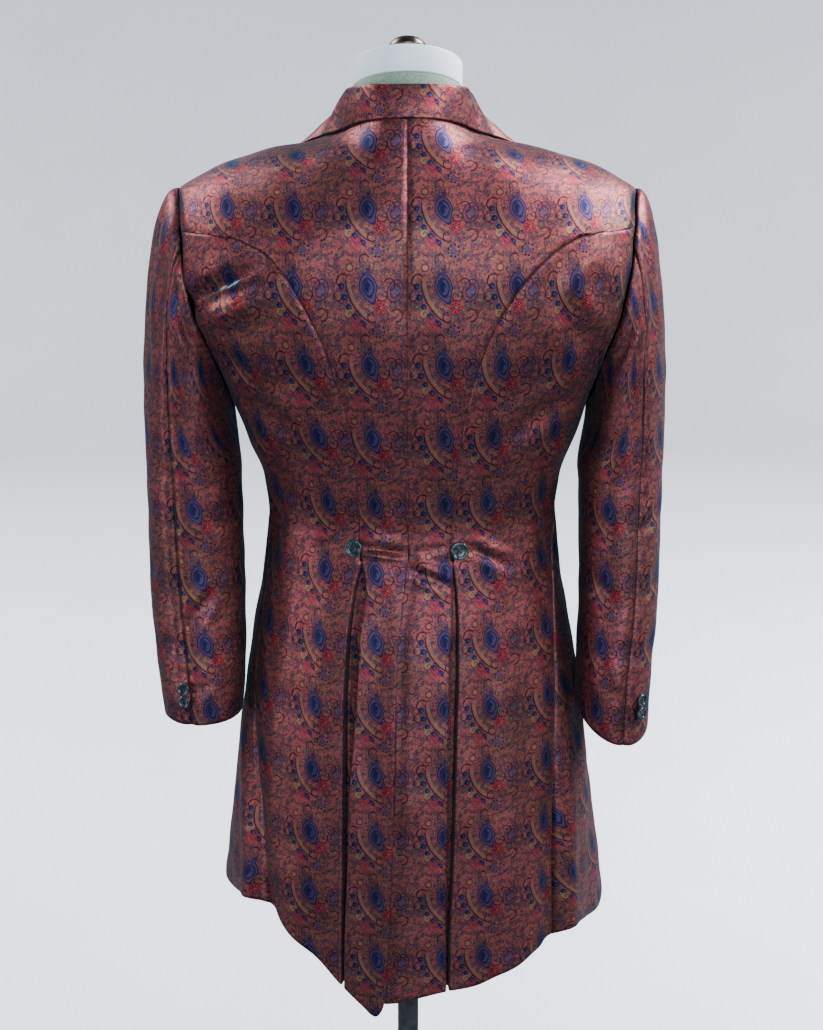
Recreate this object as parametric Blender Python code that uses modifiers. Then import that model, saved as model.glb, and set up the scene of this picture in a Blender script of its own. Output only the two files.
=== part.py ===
"""A fitted frock coat on a limbless dress form.

The coat is cut in panels. Each panel is one closed cloth wall, lofted between two seams
that run over the body of the coat. The body is a stack of rounded sections. A place on it
is named by its angle round the body, 0 at the centre of the back and 180 at the centre of
the front, and by its height. The coat's back faces -Y, the wearer's left is at -X, and the
form's base stands on the floor at the origin. Metres, +Z up.
"""

import math
from collections import namedtuple

import bmesh
import bpy
import numpy as np
from mathutils import Matrix, Vector


def table(columns, *rows):
    """A table with named columns and a row for each section, seam place or fold."""
    row_type = namedtuple("Row", columns)
    return [row_type(*row) for row in rows]


# Colours
CLOTH_COLOUR = (0.16, 0.05, 0.06)
BUTTON_COLOUR = (0.04, 0.06, 0.07)
COVER_COLOUR = (0.22, 0.30, 0.22)
NECK_COLOUR = (0.85, 0.86, 0.90)
KNOB_COLOUR = (0.25, 0.22, 0.20)
POLE_COLOUR = (0.20, 0.20, 0.21)
BASE_COLOUR = (0.16, 0.16, 0.17)
CREASE_ANGLE = math.radians(50)

# Cloth
WALL = 0.0016
SEAM_GAP = 0.0003
SEAM_EASE = 0.00005
LAY_GAP = 0.0005
LEFT, RIGHT = -1, 1
UP = Vector((0.0, 0.0, 1.0))
SIDE_NAMES = {LEFT: "left", RIGHT: "right"}

# Levels of the coat
WAIST = 1.057
PLEAT_TOP_SHARE = 0.973
UNDERARM = 1.195
SHOULDER_POINT = 1.424
NECK_SIDE = 1.487
NECK_BACK = 1.512
BREAK_POINT = 1.120

# Rounded sections of the coat's body, without its folds
BODY_SECTIONS = table(
    "height half_width back_depth front_depth squareness shift",
    (0.520, 0.2300, 0.1850, 0.1660, 2.20, 0.005),
    (0.600, 0.2235, 0.1770, 0.1600, 2.20, 0.005),
    (0.700, 0.2125, 0.1680, 0.1540, 2.20, 0.005),
    (0.790, 0.2020, 0.1590, 0.1490, 2.20, 0.005),
    (0.850, 0.1940, 0.1510, 0.1450, 2.20, 0.005),
    (0.910, 0.1845, 0.1425, 0.1400, 2.20, 0.005),
    (0.970, 0.1730, 0.1315, 0.1340, 2.20, 0.005),
    (1.020, 0.1645, 0.1210, 0.1280, 2.20, 0.005),
    (1.075, 0.1590, 0.1130, 0.1240, 2.20, 0.005),
    (1.114, 0.1640, 0.1180, 0.1280, 2.20, 0.005),
    (1.150, 0.1775, 0.1240, 0.1330, 2.25, 0.004),
    (1.195, 0.1925, 0.1325, 0.1390, 2.30, 0.003),
    (1.240, 0.2130, 0.1410, 0.1430, 2.35, 0.002),
    (1.280, 0.2360, 0.1470, 0.1450, 2.40, 0.001),
    (1.310, 0.2500, 0.1495, 0.1440, 2.40, 0.000),
    (1.350, 0.2565, 0.1490, 0.1380, 2.35, 0.000),
    (1.385, 0.2550, 0.1450, 0.1260, 2.16, 0.000),
    (1.424, 0.2420, 0.1310, 0.1020, 1.89, 0.000),
    (1.4325, 0.2310, 0.1265, 0.0960, 1.85, 0.000),
    (1.4485, 0.1990, 0.1185, 0.0830, 1.75, 0.000),
    (1.461, 0.1620, 0.1130, 0.0720, 1.70, 0.000),
    (1.4695, 0.1260, 0.1090, 0.0640, 1.72, 0.000),
    (1.477, 0.0910, 0.1055, 0.0560, 1.80, 0.000),
    (1.487, 0.0720, 0.1020, 0.0460, 1.90, 0.000),
    (1.512, 0.0560, 0.0890, 0.0300, 2.00, 0.000),
)

# Hanging folds of the skirt, angles from the centre back towards their own side
SKIRT_FOLDS = table(
    "side hem_angle top_angle half_angle rise top",
    (LEFT, 59.0, 76.0, 4.5, 0.0085, 0.900),
    (LEFT, 51.5, 66.0, 3.5, -0.0070, 0.880),
    (LEFT, 40.0, 44.0, 6.0, 0.0045, 0.900),
    (LEFT, 76.0, 88.0, 7.0, -0.0050, 0.800),
    (LEFT, 101.0, 104.0, 9.0, 0.0060, 0.840),
    (LEFT, 128.0, 124.0, 10.0, -0.0040, 0.800),
    (RIGHT, 57.0, 66.0, 4.5, 0.0085, 0.930),
    (RIGHT, 50.0, 58.0, 3.5, -0.0070, 0.920),
    (RIGHT, 36.0, 38.0, 6.0, 0.0040, 0.900),
    (RIGHT, 72.0, 82.0, 6.0, -0.0045, 0.800),
    (RIGHT, 97.0, 102.0, 9.0, 0.0060, 0.830),
    (RIGHT, 131.0, 128.0, 10.0, -0.0040, 0.780),
)
FOLD_SWING_FROM = 0.600
FOLD_GROWS_OVER = 0.26

# Seams as angle against height, away from the centre back on each side
CENTRE_SEAM = ((WAIST, -2.0), (1.200, -1.2), (1.300, 0.0), (NECK_BACK, 0.0))
VENT_EDGE = (
    (0.545, -9.4), (0.627, -8.5), (0.789, -7.1), (0.937, -6.7), (0.990, -4.9),
    (1.036, -2.7), (WAIST, -2.0),
)
VENT_TUCK_ACROSS = (0.016, 0.004)
VENT_TUCK_BLEND = 0.010
VENT_OVERLAP = ((0.545, 9.5), (0.800, 9.5), (1.000, 9.0), (WAIST, 8.0))
SIDE_SEAM = {
    LEFT: ((0.600, 52.0), (0.647, 53.5), (0.750, 59.5), (0.850, 68.0), (0.950, 76.0),
           (1.080, 84.0), (UNDERARM, 90.0)),
    RIGHT: ((0.580, 50.8), (0.606, 51.1), (0.787, 56.0), (0.941, 65.0), (1.080, 80.0),
            (UNDERARM, 90.0)),
}
PLEAT_SIDE_EDGE = {
    LEFT: ((0.568, 24.6), (0.623, 25.2), (0.678, 25.6), (0.785, 26.7), (0.907, 28.8),
           (0.967, 29.1), (1.010, 28.1), (1.045, 26.6), (WAIST, 28.0)),
    RIGHT: ((0.569, 12.9), (0.645, 13.8), (0.701, 15.1), (0.809, 17.1), (0.873, 18.6),
            (0.944, 20.6), (1.005, 21.7), (1.045, 21.5), (WAIST, 20.9)),
}
PLEAT_BACK_EDGE = {
    LEFT: ((0.568, 23.8), (0.623, 24.3), (0.698, 24.2), (0.786, 24.2), (0.917, 23.4),
           (0.968, 23.7), (0.997, 23.0), (1.018, 22.8), (1.045, 25.2), (WAIST, 28.0)),
    RIGHT: ((0.566, 12.0), (0.645, 12.2), (0.789, 13.8), (0.928, 16.6), (1.014, 20.0),
            (1.045, 20.3), (WAIST, 20.9)),
}
PLEAT_DEPTH = ((0.550, 0.015), (0.800, 0.018), (0.920, 0.015), (1.000, 0.010), (1.045, 0.0065))
PLEAT_UNDERLAY = 0.014
PLEAT_RETURN_GAP = 0.0022
FOLD_RADIUS = 0.0026
TURN_RADIUS = 0.0010

# The curved back seam, from the waist to the armhole, and the height it faces at the centre
PRINCESS_COLUMNS = "height angle centre_height"
PRINCESS = {
    LEFT: table(
        PRINCESS_COLUMNS,
        (WAIST, 28.0, WAIST), (1.121, 26.5, 1.115), (1.169, 25.7, 1.160), (1.205, 26.7, 1.193),
        (1.241, 29.0, 1.226), (1.280, 31.4, 1.260), (1.323, 36.7, 1.294), (1.357, 43.2, 1.324),
        (1.378, 51.5, 1.350), (1.3875, 61.5, 1.374), (1.3868, 74.95, 1.398),
    ),
    RIGHT: table(
        PRINCESS_COLUMNS,
        (WAIST, 20.9, WAIST), (1.101, 21.3, 1.098), (1.140, 21.8, 1.134), (1.179, 22.7, 1.170),
        (1.231, 24.9, 1.216), (1.270, 28.2, 1.248), (1.308, 32.9, 1.282), (1.339, 38.8, 1.310),
        (1.368, 47.5, 1.340), (1.390, 62.0, 1.372), (1.3897, 75.7, 1.400),
    ),
}

# The hem's height against the angle
HEM = {
    LEFT: ((8.6, 0.566), (9.6, 0.545), (12.3, 0.535), (17.7, 0.547), (25.9, 0.571),
           (35.1, 0.602), (43.0, 0.620), (49.4, 0.637), (56.0, 0.6435), (67.4, 0.635),
           (79.0, 0.622), (100.0, 0.615), (180.0, 0.610)),
    RIGHT: ((-19.0, 0.553), (-9.0, 0.549), (0.0, 0.555), (12.2, 0.564), (22.5, 0.568),
            (30.9, 0.579), (44.7, 0.598), (57.7, 0.610), (66.9, 0.602), (75.6, 0.594),
            (85.0, 0.590), (100.0, 0.594), (180.0, 0.610)),
}

# Armhole: an upright oval on the body
ARMHOLE_MIDDLE = (UNDERARM + SHOULDER_POINT) / 2
ARMHOLE_HALF_HEIGHT = (SHOULDER_POINT - UNDERARM) / 2
ARMHOLE_HALF_ANGLE = 20.0

# Front: the left edge laps over the right one, and the roll line climbs to the neck
FRONT_LAP = 0.012
ROLL_SLOPE = 0.262
FRONT_TUCK_ACROSS = (0.042, 0.026)
FRONT_TUCK_HEIGHTS = (1.215, 1.180)
FRONT_UNDERARM = 1.180
GORGE_FOOT = 1.400
GORGE_TOP = 1.459
GORGE_ANGLE = 131.0

# Sleeves: rings from the end of the cap down to the cuff
CAP_END = 1.120
SLEEVE_COLUMNS = "height across depth half_width half_depth"
SLEEVE_RINGS = {
    LEFT: table(
        SLEEVE_COLUMNS,
        (CAP_END, 0.2360, -0.012, 0.0520, 0.066), (1.060, 0.2355, -0.018, 0.0530, 0.061),
        (1.000, 0.2345, -0.026, 0.0530, 0.057), (0.940, 0.2320, -0.038, 0.0510, 0.053),
        (0.895, 0.2300, -0.049, 0.0480, 0.050), (0.850, 0.2300, -0.055, 0.0435, 0.048),
    ),
    RIGHT: table(
        SLEEVE_COLUMNS,
        (CAP_END, 0.2340, -0.014, 0.0470, 0.067), (1.060, 0.2350, -0.022, 0.0455, 0.063),
        (1.000, 0.2350, -0.032, 0.0440, 0.059), (0.940, 0.2325, -0.044, 0.0430, 0.056),
        (0.895, 0.2300, -0.053, 0.0418, 0.053), (0.825, 0.2295, -0.058, 0.0405, 0.050),
    ),
}
CAP_CREST = {LEFT: 0.0275, RIGHT: 0.0215}
CUFF_COLUMNS = "middle drop lowest_turn"
CUFFS = {LEFT: table(CUFF_COLUMNS, (0.852, 0.002, 90.0))[0],
         RIGHT: table(CUFF_COLUMNS, (0.854, 0.027, 65.0))[0]}
HIND_SEAM = ((0.0, 60.0), (1.0, 70.0), (2.0, 78.0))
FORE_SEAM = 240.0

# Collar: where its fold and its outer edge run, from the centre back to the front
COLLAR_STATIONS = table(
    "across depth height edge_angle edge_height neck_angle neck_height",
    (0.0000, -0.0830, 1.5350, 0.0, 1.503, 0.0, 1.5120),
    (0.0260, -0.0780, 1.5345, 16.0, 1.501, 18.0, 1.5110),
    (0.0480, -0.0590, 1.5320, 36.0, 1.496, 40.0, 1.5060),
    (0.0610, -0.0330, 1.5285, 58.0, 1.4875, 64.0, 1.4970),
    (0.0650, -0.0070, 1.5240, 80.0, 1.4795, 86.0, 1.4885),
    (0.0680, 0.0190, 1.5130, 100.0, 1.4680, 104.0, 1.4800),
    (0.0715, 0.0430, 1.4940, 115.0, 1.4470, 120.0, 1.4700),
    (0.0735, 0.0610, 1.4720, 127.0, 1.4200, 131.0, 1.4590),
)
COLLAR_STEPS = 11
FALL_GAP = 0.0011
FALL_PUFF = 0.0014
FALL_BOW = 0.0008
FALL_FOLD = 0.0012
FALL_LIP = 0.0018
STAND_FOOT_GAP = 0.0006
STAND_HEAD_DROP = 0.0042

# Lapel: its outer edge from the break point to the notch, as height, across
LAPEL = table(
    "roll_height edge_height edge_across",
    (1.180, 1.174, 0.012), (1.212, 1.203, 0.040), (1.260, 1.246, 0.070), (1.315, 1.295, 0.097),
    (1.370, 1.345, 0.118), (1.410, 1.381, 0.130), (1.430, 1.396, 0.133),
)
LAPEL_CELLS = (6, 10)
LAPEL_GAP = 0.0010
LAPEL_ROLL_GAP = 0.0015

# Buttons
WAIST_BUTTONS = table(
    "side angle height radius",
    (LEFT, 29.6, 1.0575, 0.0098),
    (RIGHT, 24.0, 1.0555, 0.0098),
)
CUFF_BUTTON_RADIUS = 0.0072
CUFF_BUTTON_HEIGHTS = {LEFT: (0.892, 0.877), RIGHT: (0.878, 0.863)}
CUFF_BUTTON_ANGLE = {LEFT: 72.0, RIGHT: 52.0}
FRONT_BUTTON_HEIGHTS = (1.105, 1.050, 0.995)
FRONT_BUTTON_RADIUS = 0.0098
BUTTON_STEM = 0.0026
BUTTON_THICKNESS = 0.34
BUTTON_SIDES = 14

# Dress form
FORM_BOTTOM = 0.800
FORM_ARM_PLATE = 0.205
FORM_CLEARANCE = ((FORM_BOTTOM, 0.046), (0.880, 0.038), (0.960, 0.028), (1.020, 0.018),
                  (1.080, 0.010), (1.150, 0.007), (1.300, 0.006), (1.512, 0.0045))
FORM_SEAT_GAP = 0.0004
FORM_SEAT_FROM = 1.434
FORM_SEAT_ANGLE = 28.6
FORM_SIDES = 32
FORM_HEIGHTS = (FORM_BOTTOM, 0.85, 0.91, 0.97, 1.03, 1.08, 1.13, 1.18, 1.24, 1.30, 1.35, 1.39,
                1.42, 1.4325, 1.4485, 1.461, 1.4695, 1.477)
FORM_SEAT_TO = 1.470
NECK_RADIUS = 0.0575
NECK_FLARE = 1.04
NECK_BASE_SLOPE = 0.15
NECK_BEVEL = 0.0015
NECK_DEPTH = -0.003
NECK_SLOPE = 0.40
NECK_BASE = 1.4925
NECK_BAND_TOP = 1.5225
NECK_BLOCK_TOP = 1.5500
KNOB_HEIGHT = 0.030
KNOB_SIDES = 24
KNOB_FOOT_RADIUS = 0.0160
KNOB_DOME = table(
    "radius drop",
    (0.0, 0.0), (0.0080, 0.0008), (0.0150, 0.0035), (0.0195, 0.0085), (0.0200, 0.0120),
    (0.0165, 0.0150), (0.0105, 0.0170),
)
BASE_RADIUS = 0.180
BASE_SIDES = 40
BASE_HUB_TOP = 0.030
BASE_PROFILE = table(
    "radius height",
    (0.0, BASE_HUB_TOP), (0.026, BASE_HUB_TOP), (0.034, 0.024), (0.120, 0.017),
    (BASE_RADIUS - 0.012, 0.012), (BASE_RADIUS, 0.006), (BASE_RADIUS, 0.0), (0.0, 0.0),
)
POLE_RADIUS = 0.0125
POLE_SIDES = 20
POLE_PLATE_RADIUS = 0.034
POLE_FOOT_RADIUS = 0.019
REST_GAP = 0.0003


def curve_through(rows, column=1):
    """A smooth curve through a table's rows that never overshoots them."""
    xs = np.array([row[0] for row in rows], float)
    ys = np.array([row[column] for row in rows], float)
    steps = np.diff(xs)
    slopes = np.diff(ys) / steps
    tangents = np.concatenate([slopes[:1], np.zeros(len(xs) - 2), slopes[-1:]])
    for i in range(1, len(xs) - 1):
        if slopes[i - 1] * slopes[i] > 0:
            tangents[i] = 2 * slopes[i - 1] * slopes[i] / (slopes[i - 1] + slopes[i])

    def value(x):
        x = min(max(x, xs[0]), xs[-1])
        i = int(min(max(np.searchsorted(xs, x) - 1, 0), len(steps) - 1))
        t = (x - xs[i]) / steps[i]
        near = (1 + 2 * t) * (1 - t) ** 2 * ys[i] + t * (1 - t) ** 2 * steps[i] * tangents[i]
        far = t * t * (3 - 2 * t) * ys[i + 1] + t * t * (t - 1) * steps[i] * tangents[i + 1]
        return float(near + far)

    return value


def curves_through(rows):
    """A curve for each column after the first."""
    return [curve_through(rows, column) for column in range(1, len(rows[0]))]


def share_curves(rows):
    """A curve for each column, where the rows lie at even shares of the way."""
    return curves_through([(i / (len(rows) - 1), *row) for i, row in enumerate(rows)])


def smooth_step(x, start, end):
    t = min(max((x - start) / (end - start), 0.0), 1.0)
    return t * t * (3 - 2 * t)


def blend(a, b, share):
    return a + (b - a) * share


HALF_WIDTH, BACK_DEPTH, FRONT_DEPTH, SQUARENESS, SHIFT = curves_through(BODY_SECTIONS)


def body_point(angle, height, folds=True):
    """A point on the coat's body. The angle is signed: the wearer's left is negative."""
    sine, cosine = math.sin(math.radians(angle)), math.cos(math.radians(angle))
    power = SQUARENESS(height)
    depth = BACK_DEPTH(height) if cosine > 0 else FRONT_DEPTH(height)
    radius = (abs(sine / HALF_WIDTH(height)) ** power + abs(cosine / depth) ** power) ** (-1 / power)
    if folds:
        for side, hem_angle, top_angle, half_angle, rise, top in SKIRT_FOLDS:
            if height < top:
                middle = side * blend(hem_angle, top_angle, smooth_step(height, FOLD_SWING_FROM, top))
                away = (angle - middle) / half_angle
                radius += rise * smooth_step(top - height, 0.0, FOLD_GROWS_OVER) * math.exp(-away * away)
    return Vector((SHIFT(height) + radius * sine, -radius * cosine, height))


def body_normal(angle, height, folds=True):
    """The outward direction of the coat's body."""
    turn, climb = 0.4, 0.002
    low = max(height - climb, BODY_SECTIONS[0][0])
    high = min(height + climb, BODY_SECTIONS[-1][0])
    along = body_point(angle + turn, height, folds) - body_point(angle - turn, height, folds)
    up = body_point(angle, high, folds) - body_point(angle, low, folds)
    return along.cross(up).normalized()


def angle_at(across, height):
    """The angle at which the body's front is that far across."""
    low, high = 90.0, 200.0
    for _ in range(40):
        middle = (low + high) / 2
        if body_point(middle, height, False).x > across:
            low = middle
        else:
            high = middle
    return (low + high) / 2


def armhole_place(turn):
    """(angle, height) on the armhole, turn 0 at the shoulder point and 90 at the back."""
    bow = ARMHOLE_HALF_ANGLE * math.sin(math.radians(turn))
    return 90.0 - bow, ARMHOLE_MIDDLE + ARMHOLE_HALF_HEIGHT * math.cos(math.radians(turn))


def armhole_turn(height):
    return math.degrees(math.acos((height - ARMHOLE_MIDDLE) / ARMHOLE_HALF_HEIGHT))


def finish(obj, colour, roughness=0.6, metallic=0.0):
    """Give the object its own material."""
    material = bpy.data.materials.new(obj.name)
    material.use_nodes = True
    shader = material.node_tree.nodes["Principled BSDF"]
    shader.inputs["Base Color"].default_value = (*colour, 1.0)
    shader.inputs["Roughness"].default_value = roughness
    shader.inputs["Metallic"].default_value = metallic
    obj.data.materials.append(material)
    return obj


def add_object(name, mesh):
    obj = bpy.data.objects.new(name, mesh)
    PARTS.objects.link(obj)
    return obj


def smooth_object(name, mesh):
    """An object of this working mesh, shaded smooth but for its edges."""
    data = bpy.data.meshes.new(name)
    mesh.to_mesh(data)
    mesh.free()
    data.shade_smooth()
    data.set_sharp_from_angle(angle=CREASE_ANGLE)
    return add_object(name, data)


def cloth_wall(name, outer, normals, present=None):
    """One closed wall of cloth from rows of outer points and their outward directions.

    present(row, column) says which cells of the grid hold cloth.
    """
    rows, columns = len(outer), len(outer[0])
    mesh = bmesh.new()
    made = {}

    def vertex(row, column, layer):
        key = (row, column, layer)
        if key not in made:
            point = outer[row][column] - normals[row][column] * (WALL * layer)
            made[key] = mesh.verts.new(point)
        return made[key]

    def filled(row, column):
        inside = 0 <= row < rows - 1 and 0 <= column < columns - 1
        return inside and (present is None or present(row, column))

    for row in range(rows - 1):
        for column in range(columns - 1):
            if not filled(row, column):
                continue
            corners = [(row, column), (row, column + 1), (row + 1, column + 1), (row + 1, column)]
            mesh.faces.new([vertex(*corner, 0) for corner in corners])
            mesh.faces.new([vertex(*corner, 1) for corner in reversed(corners)])
            beyond = [(row - 1, column), (row, column + 1), (row + 1, column), (row, column - 1)]
            for side, cell in enumerate(beyond):
                if not filled(*cell):
                    a, b = corners[side], corners[(side + 1) % 4]
                    mesh.faces.new([vertex(*b, 0), vertex(*a, 0), vertex(*a, 1), vertex(*b, 1)])
    if mesh.calc_volume(signed=True) < 0:
        bmesh.ops.reverse_faces(mesh, faces=mesh.faces)
    return finish(smooth_object(name, mesh), CLOTH_COLOUR)


def open_seams(outer, normals, last):
    """Draw the first and last columns in, square to the seam, by half the seam gap."""
    for end, beside in ((0, 1), (last, last - 1)):
        edge = [row[end].copy() for row in outer]
        for row, point in enumerate(edge):
            along = edge[min(row + 1, len(edge) - 1)] - edge[max(row - 1, 0)]
            square = along.cross(normals[row][end]).normalized()
            if square.dot(outer[row][beside] - point) < 0:
                square = -square
            outer[row][end] = point + square * (SEAM_GAP / 2 + SEAM_EASE)


def mirrored_rows(side, rows):
    """Rows run round the body one way on the right, so the left ones are turned back."""
    return rows if side == RIGHT else [list(reversed(row)) for row in rows]


UNDERARM_ROWS = 4
ARMHOLE_STEP = 15.0
SIDE_ARMHOLE_TURNS = (165.0, 150.0, 135.0, 120.0, 105.0, 90.0, 75.0, 60.0)
PRINCESS_ROWS = UNDERARM_ROWS + len(SIDE_ARMHOLE_TURNS) + 1
SKIRT_SHARES = (0.0, 0.05, 0.16, 0.28, 0.41, 0.54, 0.67, 0.79, 0.88, 0.94, PLEAT_TOP_SHARE)
PLEAT_ROWS = len(SKIRT_SHARES)
ARMHOLE_CENTRES = (1.409, 1.416, 1.422)
SHOULDER_HEIGHTS = (1.4325, 1.4485, 1.461, 1.4715, 1.4795, NECK_SIDE)
SHOULDER_CENTRES = (1.433, 1.451, 1.468, 1.484, 1.498, NECK_BACK)

# Where a panel's columns lie, as shares of the way across it
BACK_SHARES = (0.0, 0.16, 0.33, 0.5, 0.67, 0.84, 1.0)
SIDE_BACK_SHARES = (0.0, 0.10, 0.24, 0.40, 0.56, 0.72, 0.87, 1.0)
FRONT_SHARES = (0.0, 0.05, 0.10, 0.16, 0.24, 0.35, 0.48, 0.62, 0.76, 0.89, 1.0)


def skirt_places(hem, inner_edge, outer_edge, shares):
    """Rows of (angle, height) from the hem to just under the waist, between two edges."""
    columns = []
    for share in shares:
        low = hem(blend(inner_edge(0.60), outer_edge(0.60), share))
        column = []
        for climb in SKIRT_SHARES:
            height = blend(low, WAIST, climb)
            column.append((blend(inner_edge(height), outer_edge(height), share), height))
        columns.append(column)
    return [list(row) for row in zip(*columns)]


def ruled_places(inner, outer, shares):
    """Rows of (angle, height) between matching places on two edges."""
    rows = []
    for a, b in zip(inner, outer):
        rows.append([(blend(a[0], b[0], share), blend(a[1], b[1], share)) for share in shares])
    return rows


def place_rows(side, places, lift=None):
    """Turn rows of (angle, height) into points and outward directions."""
    points, normals = [], []
    for row in places:
        directions = [body_normal(side * angle, height) for angle, height in row]
        spots = [body_point(side * angle, height) for angle, height in row]
        if lift is not None:
            spots = [spot + direction * lift(spot, height) for spot, direction, (_, height)
                     in zip(spots, directions, row)]
        points.append(spots)
        normals.append(directions)
    return points, normals


def pleat_path(depth, underlay):
    """(sideways, inward, turn) along a fold that runs in, and then under, the next panel."""
    path = [(FOLD_RADIUS * math.sin(a), FOLD_RADIUS * (1 - math.cos(a)), a)
            for a in (math.pi / 4, math.pi / 2)]
    if underlay:
        path.append((FOLD_RADIUS, depth - TURN_RADIUS, math.pi / 2))
        path.append((FOLD_RADIUS + TURN_RADIUS, depth, 0.0))
        path.append((FOLD_RADIUS + TURN_RADIUS + underlay, depth, 0.0))
    else:
        path.append((FOLD_RADIUS, depth - PLEAT_RETURN_GAP, math.pi / 2))
    return path


def add_pleat(points, normals, toward, underlay):
    """Add the pleat's columns after the last one, where toward points across the groove."""
    depth_at = curve_through(PLEAT_DEPTH)
    for row in range(PLEAT_ROWS):
        edge, outward = points[row][-1], normals[row][-1]
        sideways = (points[row][-1] - points[row][-2]).normalized()
        sideways = (sideways - outward * sideways.dot(outward)).normalized()
        edge = edge - sideways * FOLD_RADIUS
        points[row][-1] = edge
        for across, inward, turn in pleat_path(depth_at(edge.z), underlay):
            points[row].append(edge + sideways * across - outward * inward)
            normals[row].append(outward * math.cos(turn) + sideways * math.sin(turn))
    wanted = len(points[0])
    for row in range(PLEAT_ROWS, len(points)):
        spare = wanted - len(points[row])
        points[row] += [points[row][-1]] * spare
        normals[row] += [normals[row][-1]] * spare


def princess_places(side):
    """Rows of (height, angle, centre_height) at even shares of the curved back seam."""
    curves = share_curves(PRINCESS[side])
    return [[curve(i / PRINCESS_ROWS) for curve in curves] for i in range(PRINCESS_ROWS + 1)]


def back_panel(side):
    """Back: from the centre seam to the curved seam, armhole and shoulder seam."""
    hem, centre, vent = (curve_through(table) for table in (HEM[side], CENTRE_SEAM, VENT_EDGE))
    groove = curve_through(PLEAT_BACK_EDGE[side])

    def centre_angle(height):
        return side * (vent(height) if height < WAIST else centre(height))

    places = skirt_places(hem, centre_angle, groove, BACK_SHARES)
    princess = princess_places(side)
    inner = [(centre_angle(height), height) for _, _, height in princess]
    outer = [(angle, height) for height, angle, _ in princess]
    inner += [(0.0, height) for height in ARMHOLE_CENTRES]
    outer += [armhole_place(2 * ARMHOLE_STEP), armhole_place(ARMHOLE_STEP), (90.0, SHOULDER_POINT)]
    inner += [(0.0, height) for height in SHOULDER_CENTRES]
    outer += [(90.0, height) for height in SHOULDER_HEIGHTS]
    places += ruled_places(inner, outer, BACK_SHARES)

    def underlap(spot, height):
        if side == LEFT:
            return 0.0
        edge = body_point(vent(height), height).x
        near = smooth_step(spot.x, edge + VENT_TUCK_ACROSS[0], edge + VENT_TUCK_ACROSS[1])
        low = smooth_step(height, WAIST + VENT_TUCK_BLEND, WAIST - VENT_TUCK_BLEND)
        return -(WALL + LAY_GAP) * near * low

    points, normals = place_rows(side, places, underlap)
    open_seams(points, normals, len(BACK_SHARES) - 1)
    add_pleat(points, normals, side, 0.0)
    lap_columns = 0
    if side == RIGHT:
        lap_columns = 2
        add_underlap(points, normals, vent)
    last_flat = lap_columns + len(BACK_SHARES) - 1

    def present(row, column):
        return row < PLEAT_ROWS - 1 or lap_columns <= column < last_flat

    return panel_object(f"back_{SIDE_NAMES[side]}", side, points, normals, present)


def add_underlap(points, normals, vent):
    """Carry the right back on under the left one, as the vent's underlap."""
    overlap = curve_through(VENT_OVERLAP)
    under = WALL + LAY_GAP
    for row in range(len(points)):
        if row >= PLEAT_ROWS:
            points[row] = [points[row][0]] * 2 + points[row]
            normals[row] = [normals[row][0]] * 2 + normals[row]
            continue
        height = points[row][0].z
        low = curve_through(HEM[RIGHT])(vent(height) - overlap(height)) if row == 0 else height
        for share in (0.5, 1.0):
            angle = vent(height) - overlap(height) * share
            outward = body_normal(angle, low)
            points[row].insert(0, body_point(angle, low) - outward * under)
            normals[row].insert(0, outward)


def panel_object(name, side, points, normals, present):
    columns = len(points[0])
    if side == RIGHT:
        return cloth_wall(name, points, normals, present)
    flipped = mirrored_rows(side, points), mirrored_rows(side, normals)
    return cloth_wall(name, *flipped, lambda row, column: present(row, columns - 2 - column))


def side_back_panel(side):
    """Side back: from the side seam to the curved seam, with the pleat's underlay."""
    hem = curve_through(HEM[side])
    seam, groove = curve_through(SIDE_SEAM[side]), curve_through(PLEAT_SIDE_EDGE[side])
    places = skirt_places(hem, seam, groove, SIDE_BACK_SHARES)
    outer = [(angle, height) for height, angle, _ in princess_places(side)]
    rise = [blend(WAIST, UNDERARM, i / UNDERARM_ROWS) for i in range(UNDERARM_ROWS + 1)]
    inner = [(seam(height), height) for height in rise]
    last_turn = armhole_turn(outer[-1][1]) + 3.0
    inner += [armhole_place(turn) for turn in (*SIDE_ARMHOLE_TURNS, last_turn)]
    places += ruled_places(inner, outer, SIDE_BACK_SHARES)
    points, normals = place_rows(side, places)
    open_seams(points, normals, len(SIDE_BACK_SHARES) - 1)
    add_pleat(points, normals, -side, PLEAT_UNDERLAY)
    last_flat = len(SIDE_BACK_SHARES) - 1

    def present(row, column):
        return row < PLEAT_ROWS - 1 or column < last_flat

    return panel_object(f"side_back_{SIDE_NAMES[side]}", -side, points, normals, present)


def roll_across(height):
    """How far the front edge lies from the centre: past it below the break, short above."""
    return -FRONT_LAP + max(height - BREAK_POINT, 0.0) * ROLL_SLOPE


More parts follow.
